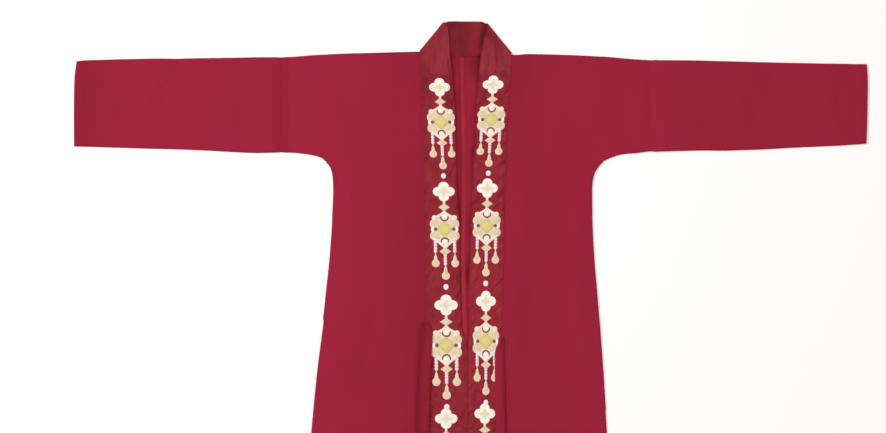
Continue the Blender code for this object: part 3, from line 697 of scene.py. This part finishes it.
def sleeve(side, material):
    """A tube from the sleeve seam out to the cuff, folded along its lower and upper edge."""
    seam_x = SLEEVE_SEAM[side] + OUTER[side] * SEAM_GAP / 2
    across, down = 96, 36

    def point(u, v, z):
        u = both_ends(u, 0.6)
        x = mix(seam_x, CUFF_X[side], u)
        y = mix(under_at[side](x), over_at[side](x), v)
        x = x + (cuff_at[side](y) - CUFF_X[side]) * ease(0.93, 1.0, u)
        return x, y, z(x, y)

    def back_z(x, y):
        return BACK_Z + 0.0001 * (1 + ripple(x, y, 0.08, 4))

    def front_z(x, y):
        return front_height(side, x, y)

    def chain(cloth, row):
        return [cloth[i, row] for i in range(across + 1)]

    bm = bmesh.new()
    back = add_grid(bm, across, down, lambda u, v: point(u, v, back_z))
    front = add_grid(bm, across, down, lambda u, v: point(u, v, front_z))
    add_folds(bm, [(chain(back, row), chain(front, row)) for row in (0, down)],
              lambda co: (0.0, 1.0 if co.y > ARM_Y else -1.0))
    return shaded(side, finish("cloth_sleeve_" + side, bm, material, CLOTH))


def lines_down(rows, steps):
    """A smooth line for each column of the rows, which lie `steps` apart. Read with the share of the way."""
    reach = np.concatenate([[0.0], np.cumsum(steps)])
    return [rounded(reach / reach[-1], column) for column in rows.T]


def neck_tone(x, y):
    """Tone of the satin inside the neck: shaded on one side, light on the other and darkest in the fold."""
    from_right, upward = free_at["right"](y) - x, ease(0.575, 0.595, y)
    fold_depth = 0.80 * (1 - 0.55 * bell(y, 0.565, 0.008) - 0.15 * ease(0.606, 0.620, y))
    tone = 0.91 + 0.34 * ease(-0.014, 0.008, x) - 0.24 * bell(x, -0.046, 0.011) * ease(0.594, 0.612, y)
    tone = tone - 0.08 * bell(x, -0.024, 0.008) * ease(0.565, 0.590, y)
    tone = tone + 0.14 * bell(x, 0.011, 0.007)
    tone = tone * (1 - fold_depth * bell(from_right, 0.0030 + 0.0014 * upward, 0.0050 + 0.0010 * upward))
    tone = tone - 0.22 * bell(x, -0.0185, 0.0035) * (1 - ease(0.557, 0.577, y))
    tone = tone - 0.28 * np.exp(-((x + 0.0385) / 0.004) ** 2 - ((y - 0.556) / 0.008) ** 2)
    return tone - 0.24 * (1 - ease(0.556, 0.567, y)) * ease(-0.006, 0.000, x)


def front_tone(side, x, y):
    """Painted light and shade of the satin on the front, with a painted shade along its free edge."""
    from_free = (x - free_at[side](y)) * OUTER[side]
    tone = toned(x, y, SATIN_LIGHT_AND_SHADE)
    if side == "right":
        return tone * (1 - np.interp(y, *EDGE_SHADE) * bell(from_free, 0.0, 0.0034))
    edge_loss = 0.02 + 0.10 * bell(y, 0.230, 0.014)
    tone = tone * (1 - edge_loss * bell(from_free, 0.001, 0.006))
    return tone * (1 - 0.07 * (1 - ease(0.010, 0.016, from_free)) * (1 - ease(-0.060, -0.030, y)))


def band(side, material):
    """Half of the collar band, from the centre back over the side of the neck and down to the hem."""
    rows = np.array(BAND[side])
    steps = np.hypot(np.diff(rows[:, 0] + rows[:, 2]), np.diff(rows[:, 1] + rows[:, 3])) / 2
    columns = lines_down(rows, np.maximum(0.004, steps))
    across, down = 40, 560

    def point(u, v):
        # More rows by the neck, where the band turns.
        v = mix(v, v * v, 0.35)
        sewn_x, sewn_y, free_x, free_y, come = (c(v) for c in columns)
        x, y = mix(sewn_x, free_x, u), mix(sewn_y, free_y, u)
        back = BACK_Z + 0.0016 + 0.0004 * ripple(x, y, 0.03, 17, 1.8, 0.3)
        z = mix(back, np.maximum(band_height(side, x, y), BACK_Z + 0.0016), come)
        return x, y, z

    bm = bmesh.new()
    add_grid(bm, across, down, point)
    obj = finish("satin_band_" + side, bm, material, SATIN)
    x, y, z = points_of(obj).T
    # inside marks the satin inside the neck, given a darker colour as painted shade; upper marks the plain
    # satin above the ornaments, given a lighter colour as painted sheen.
    inside = 1 - ease(0.0030, 0.0048, z)
    give(obj, "inside", inside)
    give(obj, "upper", ease(0.508, 0.520, y) * (1 - inside))
    give(obj, "tone", mix(front_tone(side, x, y), neck_tone(x, y), inside))
    return obj


def tie(side, material):
    """A flat ribbon that leaves the seam of the band with a slanting fold and hangs down."""
    rows = np.array(TIE[side])
    columns = lines_down(rows, np.hypot(np.diff(rows[:, 2]), np.diff(rows[:, 3])))
    across, down = 16, 150

    def point(u, v):
        outer_x, outer_y, inner_x, inner_y = (c(v) for c in columns)
        x, y = mix(outer_x, inner_x, u), mix(outer_y, inner_y, u)
        on_band = ease(-0.0035, 0.0010, (sewn_at[side](y) - x) * OUTER[side])
        z = mix(front_height(side, x, y) + 0.0011, band_height(side, x, y) + 0.0013, on_band)
        smooth = mix(FRONT_Z + 0.0014, FRONT_Z + 0.0040, ease(0.0, 0.85, u)) + 0.0007 * np.sin(math.pi * u)
        z = np.maximum(z, smooth) + 0.0005 * folds(x, y, 0.016, 43, 0.05) + 0.0010 * bell(v, 0.0, 0.03)
        return x, y, z

    bm = bmesh.new()
    add_grid(bm, across, down, point)
    obj = finish("tie_" + side + "_ribbon", bm, material, CLOTH)
    x, y, _ = points_of(obj).T
    # Painted shade along the tie's edges, a lighter middle, and darker lower down.
    from_outer, from_inner = np.abs(x - tie_edge(side, y, 0)), np.abs(x - tie_edge(side, y, 2))
    outer_loss, wide, middle, inner_loss = TIE_LIGHT_AND_SHADE[side]
    tone = middle - outer_loss * bell(from_outer, 0.0, wide) - 0.05 * ease(-0.08, -0.02, y)
    give(obj, "tone", tone - inner_loss * bell(from_inner, 0.0, 0.0045) * (1 - ease(-0.085, -0.065, y)))
    return obj


def tape(material):
    """The bound seam allowance down the centre back."""
    across, down = 8, 240

    def point(u, v):
        y = mix(HEM_Y + 0.002, BACK_NECK_Y - 0.001, v)
        x = centre_at(y) + (u - 0.5) * TAPE_WIDTH * (1 + 0.06 * ripple(0 * y, y, 0.05, 51))
        return x, y, BACK_Z + CLOTH / 2 + 0.0006 + 0.0004 * np.sin(math.pi * u)

    bm = bmesh.new()
    add_grid(bm, across, down, point)
    obj = finish("back_seam_tape", bm, material, TAPE)
    _, y, _ = points_of(obj).T
    tone = 1.06 - 0.06 * ease(0.20, 0.24, y) - 0.05 * ease(0.25, 0.33, y) + 0.09 * bell(y, 0.41, 0.035)
    give(obj, "tone", tone - 0.06 * ease(0.50, 0.55, y) + 0.04 * ripple(0 * y, y, 0.06, 57))
    return obj


# ---- embroidery ----------------------------------------------------------------------------------
def paint(red, green, blue, gain):
    """A colour given in shades of 0 to 255, as linear light times a gain."""
    def linear(c):
        c /= 255.0
        return c / 12.92 if c <= 0.04045 else ((c + 0.055) / 1.055) ** 2.4

    return tuple(linear(float(c)) * gain for c in (red, green, blue))


STRAW, FLAX = paint(242, 221, 181, 0.93), paint(231, 208, 172, 0.93)
IVORY, CREAM, BEIGE = paint(254, 248, 236, 0.96), paint(248, 233, 214, 0.94), paint(243, 221, 190, 0.93)
SAND, PEARL, DARK = paint(240, 213, 178, 0.92), paint(253, 242, 248, 0.94), paint(152, 72, 66, 0.86)
GREEN, GREEN_EDGE = paint(230, 217, 136, 0.91), paint(222, 208, 124, 0.91)
OLIVE, LILAC = paint(202, 174, 124, 0.90), paint(246, 223, 231, 0.92)
# Outline of the medallion: degrees from its top, and radius in millimetres.
MEDALLION = (
    (0, 10, 20, 29, 37, 45, 53, 62, 72, 81, 90, 99, 109, 118, 128, 139, 150, 160, 171, 180),
    (39, 31, 26.5, 26, 28, 28, 29, 29.5, 28.5, 27.6, 27.2, 27.6, 28.5, 29.5, 28.5, 26.5, 25.5, 26.5, 32,
     40),
)
MEDALLION_Y = -78  # its middle, below the middle of the flower


# Outlines of patches: the radius in millimetres at each angle from the top.
def spot(radius):
    return lambda angle: radius + 0 * angle


def lobes(distance, radius):
    def outline(angle):
        turn = (angle + math.pi / 4) % (math.pi / 2) - math.pi / 4
        return distance * np.cos(turn) + np.sqrt(radius ** 2 - (distance * np.sin(turn)) ** 2)
    return outline


def star(wide, high, hollow):
    def outline(angle):
        c, s = np.abs(np.cos(angle)) / high, np.abs(np.sin(angle)) / wide
        return 1.0 / (c ** hollow + s ** hollow) ** (1 / hollow)
    return outline


def drop(wide, neck):
    return lambda angle: wide + (neck - wide) * np.maximum(0.0, np.cos(angle)) ** 24


def medallion(angle):
    turn = np.degrees(angle) % 360
    return np.interp(np.minimum(turn, 360 - turn), *MEDALLION)


# Paths of cords: x and y in millimetres at each share of the way.
def line(x0, y0, x1, y1):
    return lambda v: (x0 + (x1 - x0) * v, y0 + (y1 - y0) * v)


def leaf(side, x0, wide, wide_power, y0, high, high_power):
    return lambda v: (side * (x0 + wide * v ** wide_power), y0 + high * v ** high_power)


def crescent(y, upward):
    def path(v):
        turn = math.pi * (1.10 - 1.20 * v)
        return 7.6 * np.cos(turn), y - upward * 7.2 * np.sin(turn) + upward * 1.2
    return path


class Needle:
    """Lays raised satin-stitch patches and cords on one band."""

    def __init__(self, side):
        self.side = side
        self.bm = bmesh.new()
        self.thread = self.bm.loops.layers.uv.new("thread")
        self.colour = self.bm.loops.layers.float_color.new("thread_colour")

    def lay(self, across, down, place, colour, thread):
        """A grid of local millimetres and height, put on the satin where the ornament is."""
        cx, cy, scale, breadth, run = self.at
        found = {}

        def on_satin(u, v):
            x, y, z = place(u, v)
            px, py = cx + (x * breadth - y * scale * run) * MM, cy + y * scale * MM
            found["x"], found["y"], found["u"], found["v"] = x, y, u, v
            return px, py, band_height(self.side, px, py) + SATIN / 2 + z * MM

        verts = add_grid(self.bm, across, down, on_satin)
        shades = colour(found["u"], found["v"], found["x"], found["y"])
        fibres = thread(found["u"], found["v"], found["x"], found["y"])
        rank = {v: n for n, v in enumerate(verts.values())}
        for face in {f for v in rank for f in v.link_faces}:
            for loop in face.loops:
                n = rank[loop.vert]
                loop[self.colour] = (*(float(c[n]) for c in shades), 1.0)
                loop[self.thread].uv = (float(fibres[0][n]) * scale * MM, float(fibres[1][n]) * scale * MM)

    def patch(self, centre, outline, height, colour, edge=None, fibre=None, rings=7, segments=48, lift=0.0,
              blend=(0.35, 0.75), tall=1.0):
        """A domed patch, blended from its colour to that of its edge. Its threads run at the angle `fibre`,
        or else outwards."""
        edge = edge or colour

        def place(u, v):
            angle = 2 * math.pi * u
            r = outline(angle) * v
            return (centre[0] + r * np.sin(angle), centre[1] + r * np.cos(angle) * tall,
                    lift + height * (1 - v ** 3.0) ** 0.8)

        def shades(u, v, x, y):
            t = ease(blend[0], blend[1], v)
            return [mix(a, b, t) for a, b in zip(colour, edge)]

        def fibres(u, v, x, y):
            if fibre is None:
                return u * 2 * math.pi * 14, v * 20
            return x * math.cos(fibre) + y * math.sin(fibre), -x * math.sin(fibre) + y * math.cos(fibre)

        self.lay(segments, rings, place, shades, fibres)

    def cord(self, path, width, height, colour, lift=0.0, taper=0.0):
        """A raised line of slanting stitches along path(share), which gives x and y."""
        across, steps = 6, 28

        def place(u, v):
            x, y = path(v)
            ahead, behind = path(np.minimum(v + 0.01, 1.0)), path(np.maximum(v - 0.01, 0.0))
            dx, dy = ahead[0] - behind[0], ahead[1] - behind[1]
            size = np.maximum(np.hypot(dx, dy), 1e-9)
            half = width / 2 * (1 - taper * (2 * np.abs(v - 0.5)) ** 2)
            off = np.cos(math.pi * u) * half
            return x - dy / size * off, y + dx / size * off, lift + height * np.sin(math.pi * u)

        self.lay(across, steps, place, lambda u, v, x, y: [c + 0 * u for c in colour],
                 lambda u, v, x, y: (v * steps * 1.1 + u * 1.5, u * width))

    def ornament(self, at, with_pearl=True):
        """One hanging ornament. Places are in millimetres from the middle of its flower."""
        self.at = at
        put, sew = self.patch, self.cord
        # Stem behind the upper pieces, then flower, star and medallion.
        sew(line(0, -16, 0, -45), 5.0, 0.5, CREAM)
        put((0, 0), lobes(12.0, 10.8), 1.15, STRAW, IVORY, segments=80, rings=10, blend=(0.18, 0.66),
            tall=0.89)
        for quarter in range(4):
            angle = quarter * math.pi / 2 + math.pi / 4
            c, s = math.cos(angle), math.sin(angle)
            sew(line(6.5 * s, 5.8 * c, 15.0 * s, 13.5 * c), 0.8, -0.22, BEIGE, lift=1.00)
        put((0, -32.6), star(12.4, 8.6, 0.95), 0.75, SAND, fibre=0.0, lift=0.15)
        put((0, MEDALLION_Y), medallion, 0.75, BEIGE, segments=128, rings=12, fibre=0.6)
        for sx in (-1, 1):
            for sy, low in ((1, 10.8), (-1, 13.6)):
                put((sx * 20.0, MEDALLION_Y + sy * low), spot(10.6), 0.60, FLAX, SAND, lift=0.50,
                    fibre=0.8 * sx * sy, segments=40, blend=(0.55, 0.95))
            put((sx * 20.6, -54.8), spot(5.8), 0.8, CREAM, lift=0.45, fibre=0.5 * sx, segments=24)
            put((sx * 25.0, MEDALLION_Y - 0.5), spot(3.6), 0.5, IVORY, lift=0.75, segments=20, tall=1.5)
            put((sx * 19.0, MEDALLION_Y), spot(5.6), 0.45, BEIGE, lift=0.80, segments=28)
            put((sx * 18.8, MEDALLION_Y), spot(3.9), 0.2, DARK, lift=1.22, segments=20, rings=4)
            sew(leaf(sx, 0.8, 18.5, 1.5, -41.0, -13.0, 0.75), 6.6, 0.7, CREAM, lift=0.6, taper=0.2)
            sew(leaf(sx, 0.6, 22.5, 1.15, -116.5, 19.5, 0.85), 7.6, 0.7, CREAM, lift=0.5, taper=0.15)
        put((0, -52.0), spot(8.6), 0.5, CREAM, lift=0.6, segments=24)
        put((0, -106.0), spot(8.6), 0.5, CREAM, lift=0.6, segments=24)
        put((0, MEDALLION_Y), star(15.4, 15.2, 1.30), 0.25, OLIVE, lift=1.00, rings=5)
        put((0, MEDALLION_Y), star(14.4, 14.2, 1.34), 0.95, GREEN, GREEN_EDGE, lift=1.02, segments=56,
            fibre=0.78)
        for sy, cy in ((1, -54.5), (-1, -102.6)):
            sew(crescent(cy, sy), 3.3, 0.3, DARK, lift=1.10, taper=0.3)
            put((0, cy + sy * 1.8), spot(3.9), 0.75, IVORY, lift=0.95, segments=20, rings=5)
        # Hanging strands: beads and drops at the sides; star, beads, drop and pearl in the middle.
        for sx in (-1, 1):
            for bead in range(4):
                put((sx * 20.0, -105.6 - 6.1 * bead), spot(3.75), 1.1, LILAC, segments=18, rings=5,
                    lift=0.05)
            sew(line(sx * 20.0, -124, sx * 20.1, -134), 2.2, 0.5, SAND)
            put((sx * 20.1, -149.2), drop(8.1, 18.5), 1.1, SAND, BEIGE, segments=64, fibre=0.0)
        sew(line(0, -112, 0, -127), 5.4, 0.6, CREAM, lift=0.2)
        put((0, -124.4), star(12.0, 8.8, 0.98), 0.8, SAND, fibre=0.0, lift=0.3)
        for bead in range(4):
            put((0, -133.2 - 5.7 * bead), spot(3.6), 1.1, LILAC, segments=18, rings=5, lift=0.05)
        sew(line(0, -150, 0, -160), 2.2, 0.5, SAND)
        put((0, -175.2), drop(8.3, 20.5), 1.15, SAND, BEIGE, segments=64, fibre=0.0)
        if with_pearl:
            put((0, -198.2), spot(5.3), 1.3, PEARL, segments=28, rings=7, fibre=0.0, tall=1.14)

    def done(self, material):
        bmesh.ops.remove_doubles(self.bm, verts=self.bm.verts, dist=1e-7)
        return finish("embroidery_" + self.side, self.bm, material)


# ---- materials -----------------------------------------------------------------------------------
def new_group(name, place, numbers, outputs):
    """A node group that takes a place and numbers, given with their usual values, and returns numbers."""
    group = bpy.data.node_groups.new(name, "ShaderNodeTree")
    group.interface.new_socket(name=place, in_out="INPUT", socket_type="NodeSocketVector")
    for label, value in numbers.items():
        socket = group.interface.new_socket(name=label, in_out="INPUT", socket_type="NodeSocketFloat")
        socket.default_value = value
    for label in outputs:
        group.interface.new_socket(name=label, in_out="OUTPUT", socket_type="NodeSocketFloat")
    return group, group.nodes.new("NodeGroupInput"), group.nodes.new("NodeGroupOutput")


def node(tree, kind, values=(), **settings):
    made = tree.nodes.new(kind)
    for key, value in settings.items():
        setattr(made, key, value)
    for key, value in dict(values).items():
        made.inputs[key].default_value = value
    return made


def feed(tree, socket, value):
    """Sets a socket to a plain value, or links it to the output of another node."""
    if isinstance(value, bpy.types.NodeSocket):
        tree.links.new(value, socket)
    else:
        socket.default_value = value


def maths(tree, operation, a, b=None):
    made = node(tree, "ShaderNodeMath", operation=operation)
    feed(tree, made.inputs[0], a)
    if b is not None:
        feed(tree, made.inputs[1], b)
    return made.outputs[0]


def scaled(tree, value, gain, plus):
    """value * gain + plus."""
    return maths(tree, "ADD", maths(tree, "MULTIPLY", value, gain), plus)


def given_value(tree, name):
    """A value that the mesh carries under this name."""
    return node(tree, "ShaderNodeAttribute", attribute_name=name).outputs["Fac"]


def weave_group():
    """Plain weave: warp and weft of a given pitch, over and under each other."""
    tree, given, out = new_group("plain_weave", "Place", {"Threads per metre": 1400.0}, ("Height", "Shade"))
    parts = node(tree, "ShaderNodeSeparateXYZ")
    tree.links.new(given.outputs["Place"], parts.inputs[0])
    turn = maths(tree, "MULTIPLY", given.outputs["Threads per metre"], math.pi)
    warp = maths(tree, "SINE", maths(tree, "MULTIPLY", parts.outputs[0], turn))
    weft = maths(tree, "SINE", maths(tree, "MULTIPLY", parts.outputs[1], turn))
    over = maths(tree, "MULTIPLY", warp, weft)
    noise = node(tree, "ShaderNodeTexNoise", {"Scale": 900.0, "Detail": 2.0})
    tree.links.new(given.outputs["Place"], noise.inputs["Vector"])
    slubs = maths(tree, "MULTIPLY", noise.outputs["Fac"], 0.6)
    tree.links.new(maths(tree, "ADD", scaled(tree, over, 0.5, 0.5), slubs), out.inputs["Height"])
    tree.links.new(scaled(tree, over, 0.06, 1.0), out.inputs["Shade"])
    return tree


def mottle_group():
    """Slow and fine changes of tone, around 1."""
    tree, given, out = new_group("tone_change", "Place", {"Broad": 0.05, "Fine": 0.04}, ("Tone",))
    total = 1.0
    for scale, detail, label in ((7.0, 2.0, "Broad"), (330.0, 3.0, "Fine")):
        noise = node(tree, "ShaderNodeTexNoise", {"Scale": scale, "Detail": detail})
        tree.links.new(given.outputs["Place"], noise.inputs["Vector"])
        swing = maths(tree, "SUBTRACT", noise.outputs["Fac"], 0.5)
        total = maths(tree, "ADD", maths(tree, "MULTIPLY", swing, given.outputs[label]), total)
    tree.links.new(total, out.inputs["Tone"])
    return tree


def satin_group():
    """Long floats of satin: fine lines along Y, with soft streaks of tone."""
    tree, given, out = new_group("satin_floats", "Place", {}, ("Height", "Streak"))
    fine = {"Scale": (1500.0, 90.0, 1.0)}
    slow = {"Scale": (90.0, 26.0, 1.0), "Rotation": (0.0, 0.0, 0.5)}
    for label, detail, shape in (("Height", 2.0, fine), ("Streak", 3.0, slow)):
        stretch = node(tree, "ShaderNodeMapping", shape)
        tree.links.new(given.outputs["Place"], stretch.inputs["Vector"])
        noise = node(tree, "ShaderNodeTexNoise", {"Scale": 1.0, "Detail": detail})
        tree.links.new(stretch.outputs[0], noise.inputs["Vector"])
        tree.links.new(noise.outputs["Fac"], out.inputs[label])
    return tree


def stitch_group():
    """Parallel embroidery threads across U of the thread coordinates, in metres."""
    tree, given, out = new_group("stitch_threads", "Thread", {"Pitch": 0.00045}, ("Height", "Shade"))
    parts = node(tree, "ShaderNodeSeparateXYZ")
    tree.links.new(given.outputs["Thread"], parts.inputs[0])
    turns = maths(tree, "DIVIDE", parts.outputs[0], given.outputs["Pitch"])
    ridge = maths(tree, "ABSOLUTE", maths(tree, "SINE", maths(tree, "MULTIPLY", turns, math.pi)))
    which = node(tree, "ShaderNodeTexWhiteNoise", noise_dimensions="1D")
    tree.links.new(maths(tree, "FLOOR", turns), which.inputs["W"])
    tree.links.new(ridge, out.inputs["Height"])
    shade = scaled(tree, which.outputs["Value"], 0.10, 0.93)
    tree.links.new(maths(tree, "MULTIPLY", shade, scaled(tree, ridge, 0.12, 0.90)), out.inputs["Shade"])
    return tree


WEAVE, MOTTLE, SATIN_FLOATS, STITCHES = weave_group(), mottle_group(), satin_group(), stitch_group()


def start_material(name, colour, roughness, specular, tint=(1.0, 1.0, 1.0)):
    material = bpy.data.materials.new(name)
    material.use_nodes = True
    tree = material.node_tree
    shader = tree.nodes["Principled BSDF"]
    shader.inputs["Base Color"].default_value = (*colour, 1.0)
    shader.inputs["Roughness"].default_value = roughness
    shader.inputs["Specular IOR Level"].default_value = specular
    shader.inputs["Specular Tint"].default_value = (*tint, 1.0)
    return material, tree, shader


def place_of(tree):
    return node(tree, "ShaderNodeTexCoord").outputs["Object"]


def use(tree, group, **values):
    made = node(tree, "ShaderNodeGroup", node_tree=group)
    for label, value in values.items():
        feed(tree, made.inputs[label], value)
    return made


def tinted(tree, colour, factor):
    """colour times a grey factor."""
    made = node(tree, "ShaderNodeVectorMath", operation="SCALE")
    feed(tree, made.inputs[0], colour)
    feed(tree, made.inputs["Scale"], factor)
    return made.outputs[0]


def bumped(tree, shader, height, distance, strength):
    bump = node(tree, "ShaderNodeBump", {"Distance": distance, "Strength": strength})
    tree.links.new(height, bump.inputs["Height"])
    tree.links.new(bump.outputs[0], shader.inputs["Normal"])


def cloth_material(name, colour):
    material, tree, shader = start_material(name, colour, 0.85, 0.12, (1.0, 0.35, 0.4))
    place = place_of(tree)
    weave = use(tree, WEAVE, Place=place)
    mottle = use(tree, MOTTLE, Place=place)
    shade = maths(tree, "MULTIPLY", weave.outputs["Shade"], mottle.outputs["Tone"])
    # The mesh's tone darkens or lightens the colour: painted light and shade on the robe and ties.
    shade = maths(tree, "MULTIPLY", shade, given_value(tree, "tone"))
    tree.links.new(tinted(tree, colour, shade), shader.inputs["Base Color"])
    bumped(tree, shader, weave.outputs["Height"], 0.00010, 0.6)
    return material


def satin_material(name, colour, upper_sheen_colour, inside_shade_colour):
    material, tree, shader = start_material(name, colour, 0.40, 0.30, (1.0, 0.16, 0.19))
    place = place_of(tree)
    floats = use(tree, SATIN_FLOATS, Place=place)
    mottle = use(tree, MOTTLE, Place=place, Broad=0.10, Fine=0.05)
    mixed = (*colour, 1)
    # Painted sheen on the plain upper satin, and painted shade on the satin inside the neck.
    for name_on_mesh, other in (("upper", upper_sheen_colour), ("inside", inside_shade_colour)):
        mixer = node(tree, "ShaderNodeMix", data_type="RGBA")
        feed(tree, mixer.inputs["Factor"], given_value(tree, name_on_mesh))
        feed(tree, mixer.inputs["A"], mixed)
        feed(tree, mixer.inputs["B"], (*other, 1))
        mixed = mixer.outputs["Result"]
    streak = scaled(tree, floats.outputs["Streak"], 0.5, 0.75)
    shade = maths(tree, "MULTIPLY", streak, mottle.outputs["Tone"])
    # The mesh's tone: painted light and shade on the satin.
    shade = maths(tree, "MULTIPLY", shade, given_value(tree, "tone"))
    tree.links.new(tinted(tree, mixed, shade), shader.inputs["Base Color"])
    bumped(tree, shader, floats.outputs["Height"], 0.00006, 0.5)
    return material


def thread_material():
    material, tree, shader = start_material("embroidery_thread", (0.8, 0.75, 0.65), 0.5, 0.4)
    uv = node(tree, "ShaderNodeUVMap", uv_map="thread")
    stitches = use(tree, STITCHES, Thread=uv.outputs[0])
    colour = node(tree, "ShaderNodeAttribute", attribute_name="thread_colour")
    tint = tinted(tree, colour.outputs["Color"], stitches.outputs["Shade"])
    tree.links.new(tint, shader.inputs["Base Color"])
    bumped(tree, shader, stitches.outputs["Height"], 0.00022, 0.8)
    return material


def floor_material():
    colour = (0.92, 0.877, 0.872)
    material, tree, shader = start_material("pale_floor", colour, 0.9, 0.0)
    mottle = use(tree, MOTTLE, Place=place_of(tree), Broad=0.01, Fine=0.01)
    tree.links.new(tinted(tree, colour, mottle.outputs["Tone"]), shader.inputs["Base Color"])
    return material


# ---- build ---------------------------------------------------------------------------------------
red_cloth = cloth_material("red_cloth", paint(156, 35, 58, 0.82))
# The ties' cloth is the robe's red painted darker, as shade beside the band.
tie_cloth_shaded = cloth_material("tie_cloth_shaded", paint(142, 31, 47, 0.82))
satin = satin_material("band_satin_red", paint(133, 32, 42, 0.80), paint(135, 40, 49, 0.80),
                       paint(110, 22, 31, 0.80))
orange_tape = cloth_material("orange_tape", paint(164, 43, 51, 0.82))
threads = thread_material()

pieces = {}
for side in OUTER:
    pieces["body", side] = body(side, red_cloth)
    pieces["sleeve", side] = sleeve(side, red_cloth)
    pieces["band", side] = band(side, satin)
    pieces["tie", side] = tie(side, tie_cloth_shaded)
    needle = Needle(side)
    for at in ORNAMENTS[side]:
        needle.ornament(at, with_pearl=at != ORNAMENTS[side][-1])
    pieces["embroidery", side] = needle.done(threads)
pieces["tape", "back"] = tape(orange_tape)

NODES = {"body": "body_", "sleeve": "sleeve_", "band": "collar_band_", "tie": "tie_"}
for (kind, side), obj in pieces.items():
    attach(obj, "root")
    if kind in NODES:
        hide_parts(NODES[kind] + side)
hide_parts("centre_back_tape")

floor = bpy.data.objects.new("floor", bpy.data.meshes.new("floor"))
bm = bmesh.new()
bmesh.ops.create_grid(bm, x_segments=1, y_segments=1, size=8.0)
bm.to_mesh(floor.data)
bm.free()
floor.data.materials.append(floor_material())
bpy.context.scene.collection.objects.link(floor)

# ---- light and camera ----------------------------------------------------------------------------
scene = bpy.context.scene
world = bpy.data.worlds.new("studio")
scene.world = world
world.use_nodes = True
background = world.node_tree.nodes["Background"]
background.inputs["Color"].default_value = (1.0, 0.985, 0.98, 1.0)
background.inputs["Strength"].default_value = 0.36
LIT_POINT = Vector((0.0, 0.1, 0.0))


def area_light(name, size, power, at):
    """A rectangle of light at a place, turned towards the robe."""
    light = bpy.data.lights.new(name, "AREA")
    light.shape, light.size, light.size_y = "RECTANGLE", *size
    light.energy = power
    obj = bpy.data.objects.new(name, light)
    obj.location = at
    obj.rotation_euler = (LIT_POINT - Vector(at)).to_track_quat("-Z", "Y").to_euler()
    scene.collection.objects.link(obj)


area_light("key", (2.4, 1.6), 216.0, (-4.2, 2.6, 4.4))
area_light("overhead", (3.0, 2.4), 187.0, (0.0, 0.2, 6.0))

camera = bpy.data.objects.new("camera", bpy.data.cameras.new("camera"))
camera.data.lens = 100.0
camera.data.sensor_width = 36.0
camera.location = (-0.058, 0.220, 5.124)
camera.data.clip_end = 50.0
scene.collection.objects.link(camera)
scene.camera = camera
scene.view_settings.view_transform = "Standard"
